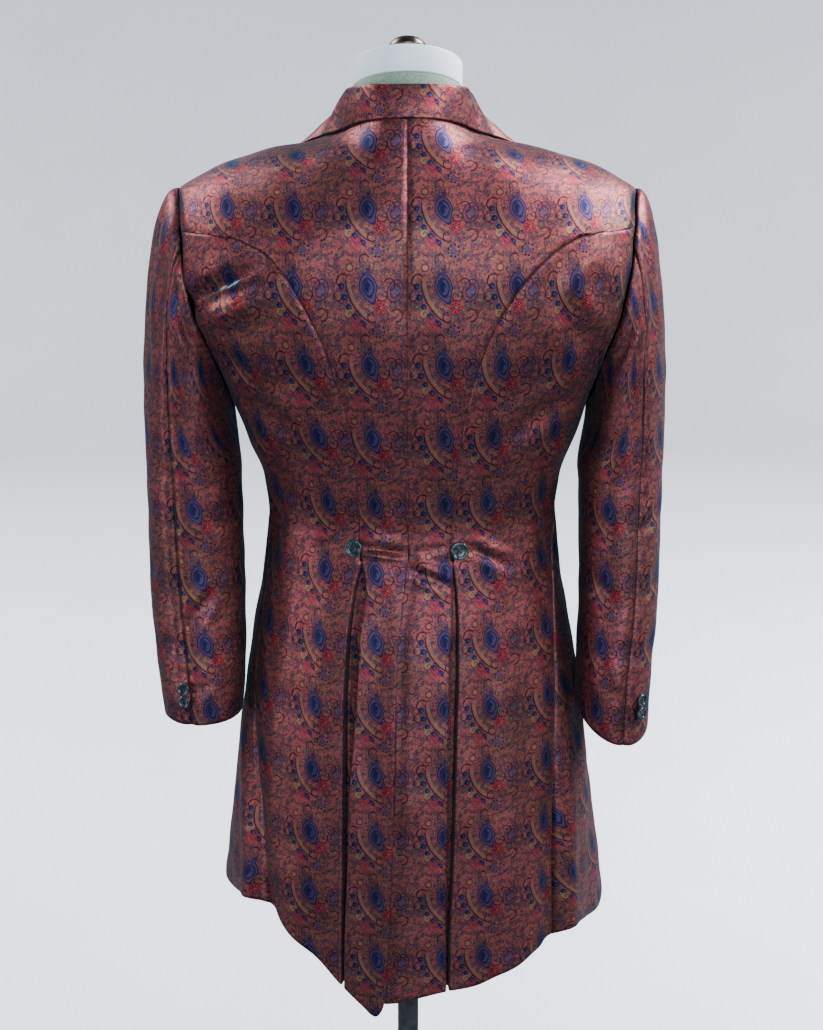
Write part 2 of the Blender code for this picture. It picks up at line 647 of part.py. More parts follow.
def front_panel(side):
    """Front: from the side seam, armhole and shoulder seam to the front edge and roll line."""
    hem, seam = curve_through(HEM[side]), curve_through(SIDE_SEAM[side])

    def edge_angle(height):
        return angle_at(roll_across(height), height)

    places = skirt_places(hem, seam, edge_angle, FRONT_SHARES)
    under, arm = UNDERARM_ROWS, round(180.0 / ARMHOLE_STEP)
    rise = [blend(WAIST, UNDERARM, i / under) for i in range(under + 1)]
    inner = [(seam(height), height) for height in rise]
    outer_heights = [blend(WAIST, FRONT_UNDERARM, i / under) for i in range(under + 1)]
    inner += [armhole_place(-180.0 + ARMHOLE_STEP * (i + 1)) for i in range(arm)]
    outer_heights += [blend(FRONT_UNDERARM, GORGE_FOOT, (i + 1) / arm) for i in range(arm)]
    inner += [(90.0, height) for height in SHOULDER_HEIGHTS]
    climbs = len(SHOULDER_HEIGHTS)
    outer = [(edge_angle(height), height) for height in outer_heights]
    neck = curve_through([(row.neck_angle, row.neck_height) for row in COLLAR_STATIONS])
    for i in range(climbs):
        angle = blend(outer[len(outer_heights) - 1][0], 90.0, (i + 1) / climbs)
        gorge = blend(GORGE_FOOT, GORGE_TOP, (i + 1) / 2)
        outer.append((angle, neck(angle) if angle < GORGE_ANGLE else gorge))
    places += ruled_places(inner, outer, FRONT_SHARES)

    def tuck(spot, height):
        if side == LEFT:
            return 0.0
        near = smooth_step(spot.x, *FRONT_TUCK_ACROSS) if spot.y > 0 else 0.0
        return -(WALL + LAY_GAP) * near * smooth_step(height, *FRONT_TUCK_HEIGHTS)

    points, normals = place_rows(side, places, tuck)
    open_seams(points, normals, len(FRONT_SHARES) - 1)
    return panel_object(f"front_{SIDE_NAMES[side]}", side, points, normals, lambda *_: True)


def lapel(side):
    """Lapel: turned back along the roll line, lying on the front."""
    shares = [column / LAPEL_CELLS[0] for column in range(LAPEL_CELLS[0] + 1)]
    curves = share_curves(LAPEL)
    points, normals = [], []
    for step in range(LAPEL_CELLS[1] + 1):
        roll_height, edge_height, edge_across = (curve(step / LAPEL_CELLS[1]) for curve in curves)
        roll = roll_across(roll_height) + LAPEL_ROLL_GAP
        start = angle_at(roll, roll_height), roll_height
        end = angle_at(edge_across, edge_height), edge_height
        row_points, row_normals = [], []
        for share in shares:
            angle, height = blend(start[0], end[0], share), blend(start[1], end[1], share)
            outward = body_normal(side * angle, height)
            row_normals.append(outward)
            row_points.append(body_point(side * angle, height) + outward * (LAPEL_GAP + WALL))
        points.append(row_points)
        normals.append(row_normals)
    return panel_object(f"lapel_{SIDE_NAMES[side]}", -side, points, normals, lambda *_: True)


def grid_normals(points):
    """Outward directions of a grid from its own rows and columns."""
    rows, columns = len(points), len(points[0])
    normals = []
    for row in range(rows):
        line = []
        for column in range(columns):
            along = points[row][min(column + 1, columns - 1)] - points[row][max(column - 1, 0)]
            up = points[min(row + 1, rows - 1)][column] - points[max(row - 1, 0)][column]
            line.append(along.cross(up).normalized())
        normals.append(line)
    return normals


def collar_station(share, side):
    """The fold, outer edge and neck places of the collar at a share of the way round."""
    values = [curve(share) for curve in share_curves(COLLAR_STATIONS)]
    across, depth, height, edge_angle, edge_height, neck_angle, neck_height = values
    fold = Vector((side * across, depth, height))
    return fold, (side * edge_angle, edge_height), (side * neck_angle, neck_height)


def collar_rows(build, steps):
    """Rows round the collar, from the wearer's left front to the right one."""
    shares = [(LEFT, 1 - i / steps) for i in range(steps)] + [(RIGHT, i / steps) for i in range(steps + 1)]
    return [build(*collar_station(share, side)) for side, share in shares]


def collar_fall():
    """Collar fall: the visible leaf, from its outer edge up and over the fold."""

    def build(fold, edge, _):
        outward = body_normal(*edge)
        low = body_point(*edge) + outward * (FALL_GAP + WALL)
        away = Vector((fold.x, fold.y - NECK_DEPTH, 0.0)).normalized()
        top = fold + away * FALL_FOLD
        bulge = (away + UP).normalized() * FALL_PUFF
        crown = fold + UP * FALL_BOW
        lip = fold - (away + UP) * FALL_LIP
        return [low, low.lerp(top, 0.28) + outward * FALL_BOW, low.lerp(top, 0.55) + bulge,
                top, crown, lip]

    rows = collar_rows(build, COLLAR_STEPS)
    points = [list(column) for column in zip(*rows)]
    return cloth_wall("collar_fall", points, grid_normals(points))


def collar_stand():
    """Collar stand: from the neck seam up to just under the fold."""

    def build(fold, _, neck):
        away = Vector((fold.x, fold.y - NECK_DEPTH, 0.0)).normalized()
        foot = body_point(*neck)
        head = fold - away * WALL - UP * STAND_HEAD_DROP
        foot = foot + (head - foot).normalized() * STAND_FOOT_GAP
        return [foot, (foot + head) / 2 - away * FALL_BOW, head]

    rows = collar_rows(build, COLLAR_STEPS)
    points = [list(column) for column in zip(*rows)]
    return cloth_wall("collar_stand", points, grid_normals(points))


SLEEVE_CURVES = {side: curves_through([(-row.height, *row[1:]) for row in SLEEVE_RINGS[side]])
                 for side in (LEFT, RIGHT)}


def ring_point(side, turn, height):
    """A point on the sleeve below its cap, turn 0 outside, 90 behind, 180 inside."""
    across, depth, half_width, half_depth = (curve(-height) for curve in SLEEVE_CURVES[side])
    x = across + half_width * math.cos(math.radians(turn))
    y = depth - half_depth * math.sin(math.radians(turn))
    return Vector((side * x, y, height))


def cuff_height(side, turn):
    """The height of the cuff's edge at a turn round the sleeve."""
    cuff = CUFFS[side]
    return cuff.middle - cuff.drop * math.cos(math.radians(turn - cuff.lowest_turn))


def sleeve_point(side, turn, along):
    """A point on the sleeve: along runs 0 to 1 down the cap, and 1 to 2 down to the cuff."""
    cosine = math.cos(math.radians(turn))
    if along > 1.0:
        return ring_point(side, turn, blend(CAP_END, cuff_height(side, turn), along - 1.0))
    angle, height = armhole_place(turn)
    start = body_point(side * angle, height, False) + Vector((side * LAY_GAP, 0, 0))
    end = ring_point(side, turn, CAP_END)
    upper = (1 + cosine) / 2
    crest = CAP_CREST[side]
    leave = Vector((side * blend(0.003, crest, upper), 0, blend(-0.020, 0.009, upper ** 1.5)))
    leave.y = -0.010 * math.sin(math.radians(turn))
    arrive = Vector((0, 0, blend(0.020, 0.62 * (height - CAP_END), upper)))
    first, second = start + leave, end + arrive
    t = along
    return (start * (1 - t) ** 3 + first * (3 * t * (1 - t) ** 2)
            + second * (3 * t * t * (1 - t)) + end * t ** 3)


def sleeve_normal(side, turn, along):
    low, high = max(along - 0.01, 0.0), min(along + 0.01, 2.0)
    if along == 1.0:
        low = 0.99
    across = sleeve_point(side, turn + 1, along) - sleeve_point(side, turn - 1, along)
    down = sleeve_point(side, turn, high) - sleeve_point(side, turn, low)
    return across.cross(down).normalized() * side


SLEEVE_STATIONS = (0.0, 0.08, 0.18, 0.30, 0.44, 0.58, 0.72, 0.86, 1.0,
                   1.14, 1.28, 1.42, 1.56, 1.70, 1.85, 2.0)


def sleeve_piece(side, name, first_seam, last_seam, columns):
    """One piece of the sleeve, between two seams that run down it."""
    points, normals = [], []
    for along in SLEEVE_STATIONS:
        first, last = first_seam(along), last_seam(along)
        turns = [blend(first, last, column / columns) for column in range(columns + 1)]
        points.append([sleeve_point(side, turn, along) for turn in turns])
        normals.append([sleeve_normal(side, turn, along) for turn in turns])
    open_seams(points, normals, columns)
    return cloth_wall(f"{name}_{SIDE_NAMES[side]}", points, normals)


def sleeve(side):
    """Two-piece sleeve: the upper piece outside and the under piece against the body."""
    hind = curve_through(HIND_SEAM)
    columns = round(180.0 / ARMHOLE_STEP)
    sleeve_piece(side, "upper_sleeve", lambda along: FORE_SEAM - 360.0, hind, columns)
    sleeve_piece(side, "under_sleeve", hind, lambda along: FORE_SEAM, columns)


def turned(name, profile, steps, colour, roughness=0.5, metallic=0.0):
    """A turned piece from an outline that runs down its outer side, from axis to axis."""
    data = bpy.data.meshes.new(name)
    edges = [(i, i + 1) for i in range(len(profile) - 1)]
    data.from_pydata([(radius, 0.0, height) for radius, height in profile], edges, [])
    obj = add_object(name, data)
    screw = obj.modifiers.new("Screw", "SCREW")
    screw.steps = screw.render_steps = steps
    screw.use_merge_vertices = True
    screw.merge_threshold = 0.00005
    return finish(obj, colour, roughness, metallic)


def button(name, radius, place, outward):
    """A dished button with a raised rim, on a thread stem that ends just off the cloth."""
    thick = BUTTON_THICKNESS * radius
    profile = (
        (0.0, BUTTON_STEM + 0.55 * thick),
        (0.62 * radius, BUTTON_STEM + 0.62 * thick),
        (0.80 * radius, BUTTON_STEM + thick),
        (0.94 * radius, BUTTON_STEM + 0.90 * thick),
        (radius, BUTTON_STEM + 0.45 * thick),
        (0.86 * radius, BUTTON_STEM),
        (0.22 * radius, BUTTON_STEM),
        (0.22 * radius, REST_GAP),
        (0.0, REST_GAP),
    )
    obj = turned(name, profile, BUTTON_SIDES, BUTTON_COLOUR, 0.25)
    obj.location = place
    obj.rotation_euler = outward.to_track_quat("Z", "Y").to_euler()


def all_buttons():
    for side, angle, height, radius in WAIST_BUTTONS:
        outward = body_normal(side * angle, height)
        place = body_point(side * angle, height) + outward * REST_GAP
        button(f"waist_button_{SIDE_NAMES[side]}", radius, place, outward)
    for side in (LEFT, RIGHT):
        turn = CUFF_BUTTON_ANGLE[side]
        cuff = cuff_height(side, turn)
        for number, height in enumerate(CUFF_BUTTON_HEIGHTS[side], 1):
            along = 1.0 + (CAP_END - height) / (CAP_END - cuff)
            button(f"cuff_button_{SIDE_NAMES[side]}_{number}", CUFF_BUTTON_RADIUS,
                   sleeve_point(side, turn, along), sleeve_normal(side, turn, along))
    for number, height in enumerate(FRONT_BUTTON_HEIGHTS, 1):
        angle = -angle_at(0.0, height)
        button(f"front_button_{number}", FRONT_BUTTON_RADIUS, body_point(angle, height),
               body_normal(angle, height))


def form_torso():
    """The form's covered torso and neck, up to the slanted top of its cover."""
    clearance = curve_through(FORM_CLEARANCE)
    angles = [360.0 * step / FORM_SIDES for step in range(FORM_SIDES)]
    rings = []
    for height in FORM_HEIGHTS:
        ring = []
        for angle in angles:
            off_ridge = abs(abs((angle + 180.0) % 360.0 - 180.0) - 90.0)
            seated = smooth_step(height, FORM_SEAT_FROM - 0.006, FORM_SEAT_FROM)
            seated *= smooth_step(height, FORM_SEAT_TO + 0.007, FORM_SEAT_TO)
            seated *= smooth_step(off_ridge, FORM_SEAT_ANGLE, 0.0)
            gap = blend(clearance(height), FORM_SEAT_GAP, seated)
            point = body_point(angle, height, False) - body_normal(angle, height, False) * (WALL + gap)
            point.x = min(max(point.x, -FORM_ARM_PLATE), FORM_ARM_PLATE)
            point.z = FORM_BOTTOM if height == FORM_BOTTOM else point.z
            if height == FORM_HEIGHTS[-1]:
                root = neck_point(angle, height, NECK_FLARE * NECK_RADIUS, 0.0)
                point.y = max(point.y, root.y) if root.y > NECK_RADIUS / 2 else point.y
            ring.append(point)
        rings.append(ring)
    for level, radius, slope in ((NECK_BASE, NECK_FLARE * NECK_RADIUS, NECK_BASE_SLOPE),
                                 (NECK_BAND_TOP, NECK_RADIUS, NECK_SLOPE)):
        rings.append([neck_point(angle, level, radius, slope) for angle in angles])
    mesh = bmesh.new()
    made = [[mesh.verts.new(point) for point in ring] for ring in rings]
    for low, high in zip(made, made[1:]):
        for i in range(FORM_SIDES):
            j = (i + 1) % FORM_SIDES
            mesh.faces.new((low[i], low[j], high[j], high[i]))
    mesh.faces.new(list(reversed(made[0])))
    mesh.faces.new(made[-1])
    bmesh.ops.recalc_face_normals(mesh, faces=mesh.faces)
    finish(smooth_object("form_torso", mesh), COVER_COLOUR, 0.9)


def neck_point(angle, level, radius, slope):
    """A point round the form's neck, where each level slopes down to the front."""
    x = radius * math.sin(math.radians(angle))
    y = NECK_DEPTH - radius * math.cos(math.radians(angle))
    return Vector((x, y, level - slope * y))


def form_neck():
    """The white block on top of the neck: a cylinder sheared so that its ends slope forward."""
    low, high = NECK_BAND_TOP + 2 * REST_GAP, NECK_BLOCK_TOP
    mesh = bmesh.new()
    bmesh.ops.create_cone(mesh, cap_ends=True, segments=FORM_SIDES, radius1=NECK_RADIUS,
                          radius2=NECK_RADIUS, depth=high - low)
    middle = (low + high) / 2 - NECK_SLOPE * NECK_DEPTH
    shear = Matrix(((1, 0, 0, 0), (0, 1, 0, NECK_DEPTH), (0, -NECK_SLOPE, 1, middle), (0, 0, 0, 1)))
    bmesh.ops.transform(mesh, matrix=shear, verts=mesh.verts)
    obj = finish(smooth_object("form_neck", mesh), NECK_COLOUR, 0.5)
    bevel = obj.modifiers.new("Bevel", "BEVEL")
    bevel.width = NECK_BEVEL
    bevel.segments = 1
    bevel.limit_method = "ANGLE"
    bevel.angle_limit = CREASE_ANGLE


def form_knob():
    """The metal knob on the neck block, square to its sloping top."""
    dome = [(radius, KNOB_HEIGHT - drop) for radius, drop in KNOB_DOME]
    neck, foot = KNOB_DOME[-1].radius, KNOB_FOOT_RADIUS
    profile = (*dome, (neck, 0.004), (foot, 0.0025), (foot, REST_GAP), (0.0, REST_GAP))
    obj = turned("form_knob", profile, KNOB_SIDES, KNOB_COLOUR, 0.3, 1.0)
    obj.location = (0.0, 0.0, NECK_BLOCK_TOP)
    obj.rotation_euler = (-math.atan(NECK_SLOPE), 0.0, 0.0)


def form_stand():
    """The pole and the round base that the form stands on."""
    top = FORM_BOTTOM - REST_GAP
    foot = BASE_HUB_TOP + REST_GAP
    pole = ((0.0, top), (POLE_PLATE_RADIUS, top), (POLE_PLATE_RADIUS, top - 0.006),
            (POLE_RADIUS, top - 0.012), (POLE_RADIUS, foot + 0.016),
            (POLE_FOOT_RADIUS, foot + 0.012), (POLE_FOOT_RADIUS, foot), (0.0, foot))
    turned("form_pole", pole, POLE_SIDES, POLE_COLOUR, 0.35, 1.0)
    turned("form_base", BASE_PROFILE, BASE_SIDES, BASE_COLOUR, 0.4, 0.6)


for old in list(bpy.data.objects):
    bpy.data.objects.remove(old)
PARTS = bpy.data.collections.new("frock_coat_on_dress_form")
bpy.context.scene.collection.children.link(PARTS)

for coat_side in (LEFT, RIGHT):
    back_panel(coat_side)
    side_back_panel(coat_side)
    front_panel(coat_side)
    lapel(coat_side)
    sleeve(coat_side)
collar_stand()
collar_fall()
all_buttons()
form_torso()
form_neck()
form_knob()
form_stand()
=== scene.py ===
"""The looks of a fitted frock coat in shot silk, on the limbless dress form that shows it.

The coat is cut in panels, as it is sewn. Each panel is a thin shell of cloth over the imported
solid's form, laid out between the same seams, with its creases, puckered seams and pleats. A
place on the coat's body is named by its angle round the body, 0 at the centre of the back and
180 at the centre of the front, and by its height. The coat's back faces -Y, the wearer's left
is at -X, and the stand's base is on the floor at the origin. Metres, +Z up.
"""

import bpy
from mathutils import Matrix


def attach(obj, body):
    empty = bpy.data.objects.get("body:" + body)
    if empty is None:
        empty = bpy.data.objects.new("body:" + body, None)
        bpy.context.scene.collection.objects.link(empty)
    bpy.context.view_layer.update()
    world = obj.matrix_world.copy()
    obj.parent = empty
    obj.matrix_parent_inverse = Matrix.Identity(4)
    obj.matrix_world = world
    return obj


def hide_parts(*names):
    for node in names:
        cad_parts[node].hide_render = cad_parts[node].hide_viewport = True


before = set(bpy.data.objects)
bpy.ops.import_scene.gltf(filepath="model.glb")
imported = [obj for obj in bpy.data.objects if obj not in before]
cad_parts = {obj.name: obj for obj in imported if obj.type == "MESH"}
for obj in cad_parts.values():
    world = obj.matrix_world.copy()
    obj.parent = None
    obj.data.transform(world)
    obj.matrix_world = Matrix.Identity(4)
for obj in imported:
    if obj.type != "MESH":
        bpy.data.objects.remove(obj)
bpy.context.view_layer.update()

import logging
import math
from dataclasses import dataclass
from enum import Enum
from typing import Any, Callable, Optional, Sequence, Union

import bmesh
import bpy
import numpy as np
from mathutils import Matrix, Vector

Rows = Sequence[Sequence[float]]
Colour = tuple[float, float, float]
Number = Union[float, np.ndarray]
Surface = Callable[[Number, Number], np.ndarray]

# Cloth
WALL = 0.0016
SEAM_GAP = 0.00004
LAY_GAP = 0.0005
CELL = 0.0042
REPEAT = 0.075

# Levels of the coat
WAIST = 1.057
UNDERARM = 1.195
SHOULDER_POINT = 1.424
NECK_SIDE = 1.487
NECK_BACK = 1.512
BREAK_POINT = 1.120
SHOULDER_HEIGHTS = (1.4325, 1.4485, 1.461, 1.4715, 1.4795, NECK_SIDE)
SHOULDER_CENTRES = (1.433, 1.451, 1.468, 1.484, 1.498, NECK_BACK)


class Side(Enum):
    """A side of the wearer, and its sign along X."""

    LEFT = -1
    RIGHT = 1

    @property
    def label(self) -> str:
        """The side's name as the nodes spell it."""
        return self.name.lower()


class Curve:
    """A smooth curve through a table's places that never overshoots them."""

    def __init__(self, xs: Sequence[float], ys: Any) -> None:
        """Fit the curve.

        Args:
            xs: The places, which only grow.
            ys: A value, or an array of values, at each place.
        """
        self.xs = np.asarray(xs, float)
        self.shape = np.shape(ys)[1:]
        self.ys = np.asarray(ys, float).reshape(len(self.xs), -1)
        self.steps = np.diff(self.xs)
        slopes = np.diff(self.ys, axis=0) / self.steps[:, None]
        product, total = slopes[:-1] * slopes[1:], slopes[:-1] + slopes[1:]
        inner = np.where(product > 0, 2 * product / np.where(product > 0, total, 1.0), 0.0)
        self.tangents = np.concatenate([slopes[:1], inner, slopes[-1:]])

    def __call__(self, x: Number) -> np.ndarray:
        """Read the curve.

        Args:
            x: One place or an array of them.

        Returns:
            The values there, with the shape of x and then that of one value.
        """
        x = np.asarray(x, float)
        flat = np.clip(x.ravel(), self.xs[0], self.xs[-1])
        i = np.clip(np.searchsorted(self.xs, flat) - 1, 0, len(self.steps) - 1)
        step = self.steps[i][:, None]
        t = ((flat - self.xs[i]) / self.steps[i])[:, None]
        near = (1 + 2 * t) * (1 - t) ** 2 * self.ys[i] + t * (1 - t) ** 2 * step * self.tangents[i]
        far = t * t * (3 - 2 * t) * self.ys[i + 1] + t * t * (t - 1) * step * self.tangents[i + 1]
        return (near + far).reshape(x.shape + self.shape)


def curve(rows: Rows) -> Curve:
    """A curve through rows of a place and a value."""
    return Curve([row[0] for row in rows], [row[1] for row in rows])


def curves(rows: Rows) -> Curve:
    """A curve whose value is all the columns after the first."""
    return Curve([row[0] for row in rows], [row[1:] for row in rows])


def even_curves(rows: Rows) -> Curve:
    """A curve through rows that lie at even shares of the way."""
    return Curve(np.linspace(0.0, 1.0, len(rows)), rows)


def blend(a: Number, b: Number, share: Number) -> Number:
    """A value that share of the way from a to b."""
    return a + (b - a) * share


def smooth_step(x: Number, start: float, end: float) -> np.ndarray:
    """A soft climb from 0 at start to 1 at end."""
    t = np.clip((np.asarray(x, float) - start) / (end - start), 0.0, 1.0)
    return t * t * (3 - 2 * t)


def unit(vectors: np.ndarray) -> np.ndarray:
    """The vectors at length 1."""
    return vectors / np.maximum(np.linalg.norm(vectors, axis=-1, keepdims=True), 1e-12)


def bell(x: Number) -> np.ndarray:
    """A bell of height 1, down to about a third one step away."""
    return np.exp(-np.square(x))


def lengths(points: np.ndarray, axis: int) -> np.ndarray:
    """The running length along an axis of a grid of points, from 0."""
    steps = np.linalg.norm(np.diff(points, axis=axis), axis=-1)
    return np.insert(np.cumsum(steps, axis=axis), 0, 0.0, axis=axis)


def pairs(first: Number, second: Number) -> np.ndarray:
    """Two arrays as one, with a pair along its last axis."""
    return np.stack(np.broadcast_arrays(np.asarray(first, float), np.asarray(second, float)), -1)


def finer_index(coarse: np.ndarray, cell: float = CELL) -> np.ndarray:
    """Running indexes along a row of coarse points, close enough for cells of that size.

    Args:
        coarse: The row of points.
        cell: The most that a step may measure.

    Returns:
        Indexes from 0 to the last point, whole and between.
    """
    steps = np.linalg.norm(np.diff(coarse, axis=0), axis=-1)
    counts = np.maximum(1, np.ceil(steps / cell)).astype(int)
    inside = [i + np.arange(count) / count for i, count in enumerate(counts)]
    return np.concatenate(inside + [[float(len(counts))]])


def grid_normals(points: np.ndarray) -> np.ndarray:
    """Outward directions of a grid from its own rows and columns."""
    return unit(np.cross(np.gradient(points, axis=1), np.gradient(points, axis=0)))


@dataclass(frozen=True)
class Body:
    """The coat's body: a stack of rounded sections, with the skirt's hanging folds."""

    # height, half width, back depth, front depth, squareness, shift
    sections: Rows = (
        (0.520, 0.2300, 0.1850, 0.1660, 2.20, 0.005), (0.600, 0.2235, 0.1770, 0.1600, 2.20, 0.005),
        (0.700, 0.2125, 0.1680, 0.1540, 2.20, 0.005), (0.790, 0.2020, 0.1590, 0.1490, 2.20, 0.005),
        (0.850, 0.1940, 0.1510, 0.1450, 2.20, 0.005), (0.910, 0.1845, 0.1425, 0.1400, 2.20, 0.005),
        (0.970, 0.1730, 0.1315, 0.1340, 2.20, 0.005), (1.020, 0.1645, 0.1210, 0.1280, 2.20, 0.005),
        (1.075, 0.1590, 0.1130, 0.1240, 2.20, 0.005), (1.114, 0.1640, 0.1180, 0.1280, 2.20, 0.005),
        (1.150, 0.1775, 0.1240, 0.1330, 2.25, 0.004), (1.195, 0.1925, 0.1325, 0.1390, 2.30, 0.003),
        (1.240, 0.2130, 0.1410, 0.1430, 2.35, 0.002), (1.280, 0.2360, 0.1470, 0.1450, 2.40, 0.001),
        (1.310, 0.2500, 0.1495, 0.1440, 2.40, 0.000), (1.350, 0.2565, 0.1490, 0.1380, 2.35, 0.000),
        (1.385, 0.2550, 0.1450, 0.1260, 2.16, 0.000), (1.424, 0.2420, 0.1310, 0.1020, 1.89, 0.000),
        (1.4325, 0.2310, 0.1265, 0.0960, 1.85, 0.000), (1.4485, 0.1990, 0.1185, 0.0830, 1.75, 0.000),
        (1.461, 0.1620, 0.1130, 0.0720, 1.70, 0.000), (1.4695, 0.1260, 0.1090, 0.0640, 1.72, 0.000),
        (1.477, 0.0910, 0.1055, 0.0560, 1.80, 0.000), (1.487, 0.0720, 0.1020, 0.0460, 1.90, 0.000),
        (1.512, 0.0560, 0.0890, 0.0300, 2.00, 0.000),
    )
    # side, hem angle, top angle, half angle, rise, top
    folds: Rows = (
        (-1, 59.0, 76.0, 4.5, 0.0085, 0.900), (-1, 51.5, 66.0, 3.5, -0.0070, 0.880),
        (-1, 40.0, 44.0, 6.0, 0.0045, 0.900), (-1, 76.0, 88.0, 7.0, -0.0050, 0.800),
        (-1, 101.0, 104.0, 9.0, 0.0060, 0.840), (-1, 128.0, 124.0, 10.0, -0.0040, 0.800),
        (1, 57.0, 66.0, 4.5, 0.0085, 0.930), (1, 50.0, 58.0, 3.5, -0.0070, 0.920),
        (1, 36.0, 38.0, 6.0, 0.0040, 0.900), (1, 72.0, 82.0, 6.0, -0.0045, 0.800),
        (1, 97.0, 102.0, 9.0, 0.0060, 0.830), (1, 131.0, 128.0, 10.0, -0.0040, 0.780),
    )

    def point(self, angle: Number, height: Number, folds: bool = True) -> np.ndarray:
        """Places on the body.

        Args:
            angle: Degrees from the centre of the back, the wearer's left negative.
            height: Metres above the floor.
            folds: Whether the skirt's hanging folds count.

        Returns:
            Points, with X, Y and Z along the last axis.
        """
        angle, height = np.broadcast_arrays(np.asarray(angle, float), np.asarray(height, float))
        width, back, front, power, shift = np.moveaxis(SECTION_CURVE(height), -1, 0)
        cosine, sine = np.cos(np.radians(angle)), np.sin(np.radians(angle))
        depth = np.where(cosine > 0, back, front)
        radius = (np.abs(sine / width) ** power + np.abs(cosine / depth) ** power) ** (-1 / power)
        if folds:
            for side, hem_angle, top_angle, half, rise, top in self.folds:
                middle = side * blend(hem_angle, top_angle, smooth_step(height, 0.60, top))
                grown = smooth_step(top - height, 0.0, 0.26)
                radius = radius + rise * grown * bell((angle - middle) / half)
        return np.stack([shift + radius * sine, -radius * cosine, height], -1)

    def normal(self, angle: Number, height: Number, folds: bool = True) -> np.ndarray:
        """The outward directions at places on the body, taken as point takes them.

        Args:
            angle: Degrees from the centre of the back.
            height: Metres above the floor.
            folds: Whether the skirt's hanging folds count.

        Returns:
            Vectors of length 1.
        """
        low = np.maximum(np.asarray(height) - 0.002, self.sections[0][0])
        high = np.minimum(np.asarray(height) + 0.002, self.sections[-1][0])
        along = self.point(angle + 0.4, height, folds) - self.point(angle - 0.4, height, folds)
        up = self.point(angle, high, folds) - self.point(angle, low, folds)
        return unit(np.cross(along, up))

    def angle_at(self, across: Number, height: Number) -> np.ndarray:
        """The angle at which the body's front is that far across.

        Args:
            across: The X there, in metres.
            height: Metres above the floor.

        Returns:
            Degrees from the centre of the back.
        """
        across, height = np.broadcast_arrays(np.asarray(across, float), np.asarray(height, float))
        low, high = np.full(across.shape, 90.0), np.full(across.shape, 200.0)
        for _ in range(34):
            middle = (low + high) / 2
            too_far = self.point(middle, height, False)[..., 0] > across
            low, high = np.where(too_far, middle, low), np.where(too_far, high, middle)
        return (low + high) / 2


SECTION_CURVE = curves(Body.sections)
BODY = Body()


class Weave:
    """Where the woven pattern lies on the coat's body, in metres across and up the cloth."""

    # Up to this height the cloth's rows are level, and above it they follow its climb
    LEVEL = 1.385
    ROWS = curve(((0.500, -12.40), (0.602, -11.0), (0.8857, -7.0), (1.182, -3.0),
                  (1.385, -0.46), (1.560, 1.80)))

    def __init__(self, body: Body) -> None:
        """Measure the body's girth, from the centre of the back, at many heights.

        Args:
            body: The form that the cloth lies on.
        """
        self.heights = np.linspace(0.520, 1.512, 125)
        self.angles = np.linspace(0.0, 200.0, 101)
        self.girth = lengths(body.point(self.angles[None], self.heights[:, None], False), 1)
        level = body.point(self.angles, self.LEVEL, False)
        level_girth = lengths(level, 0)
        half = len(level) * 9 // 20
        self.back_girth = level[: half + 1, 0], level_girth[: half + 1]
        front = slice(half * 2, half - 1, -1)
        self.front_girth = level[front, 0], level_girth[half * 2] - level_girth[front]

    def round_from_back(self, angle: Number, height: Number) -> np.ndarray:
        """The length round the body from the centre of the back, signed as the angle.

        Args:
            angle: Degrees from the centre of the back.
            height: Metres above the floor.

        Returns:
            Lengths in metres.
        """
        angle, height = np.broadcast_arrays(np.asarray(angle, float), np.asarray(height, float))
        row = np.clip((height - self.heights[0]) / (self.heights[1] - self.heights[0]),
                      0, len(self.heights) - 1.001)
        column = np.clip(np.abs(angle) / (self.angles[1] - self.angles[0]),
                         0, len(self.angles) - 1.001)
        i, j = row.astype(int), column.astype(int)
        near = blend(self.girth[i, j], self.girth[i, j + 1], column - j)
        far = blend(self.girth[i + 1, j], self.girth[i + 1, j + 1], column - j)
        return np.sign(angle) * blend(near, far, row - i)

    def climb(self, points: np.ndarray) -> np.ndarray:
        """How far the cloth climbs above the level, straight up its grain.

        Args:
            points: The places, in metres.

        Returns:
            Lengths in metres.
        """
        across, height = np.abs(points[..., 0]), points[..., 2]
        levels = self.LEVEL + np.maximum(height - self.LEVEL, 0.0)[..., None] * np.linspace(0, 1, 13)
        width, back, front, power, _ = np.moveaxis(SECTION_CURVE(levels), -1, 0)
        depth = np.where(points[..., 1, None] < 0, back, front)
        inside = np.clip(1 - np.minimum(across[..., None] / width, 1.0) ** power, 0.0, 1.0)
        rise = np.hypot(np.diff(depth * inside ** (1 / power)), np.diff(levels))
        return rise.sum(-1)

    def up(self, points: np.ndarray) -> np.ndarray:
        """The place up the cloth."""
        level = self.ROWS(np.minimum(points[..., 2], self.LEVEL)) * REPEAT
        return level + self.climb(points)

    def back(self, angle: Number, points: np.ndarray) -> np.ndarray:
        """Places on the cloth of the back, as pairs.

        Args:
            angle: Signed degrees from the centre of the back.
            points: The places, in metres.

        Returns:
            Metres across and up the cloth.
        """
        height = points[..., 2]
        low = self.round_from_back(angle, np.minimum(height, self.LEVEL))
        high = np.sign(points[..., 0]) * np.interp(np.abs(points[..., 0]), *self.back_girth)
        return pairs(np.where(height > self.LEVEL, high, low), self.up(points))

    def front(self, side: Side, angle: Number, points: np.ndarray) -> np.ndarray:
        """Places on the cloth of the front, as pairs.

        Args:
            side: The wearer's side.
            angle: Signed degrees from the centre of the back.
            points: The places, in metres.

        Returns:
            Metres across and up the cloth.
        """
        height = points[..., 2]
        below = np.minimum(height, self.LEVEL)
        low = self.round_from_back(180.0, below) - self.round_from_back(np.abs(angle), below)
        high = np.interp(np.abs(points[..., 0]), *self.front_girth)
        return pairs(-side.value * np.where(height > self.LEVEL, high, low), self.up(points))


WEAVE = Weave(BODY)


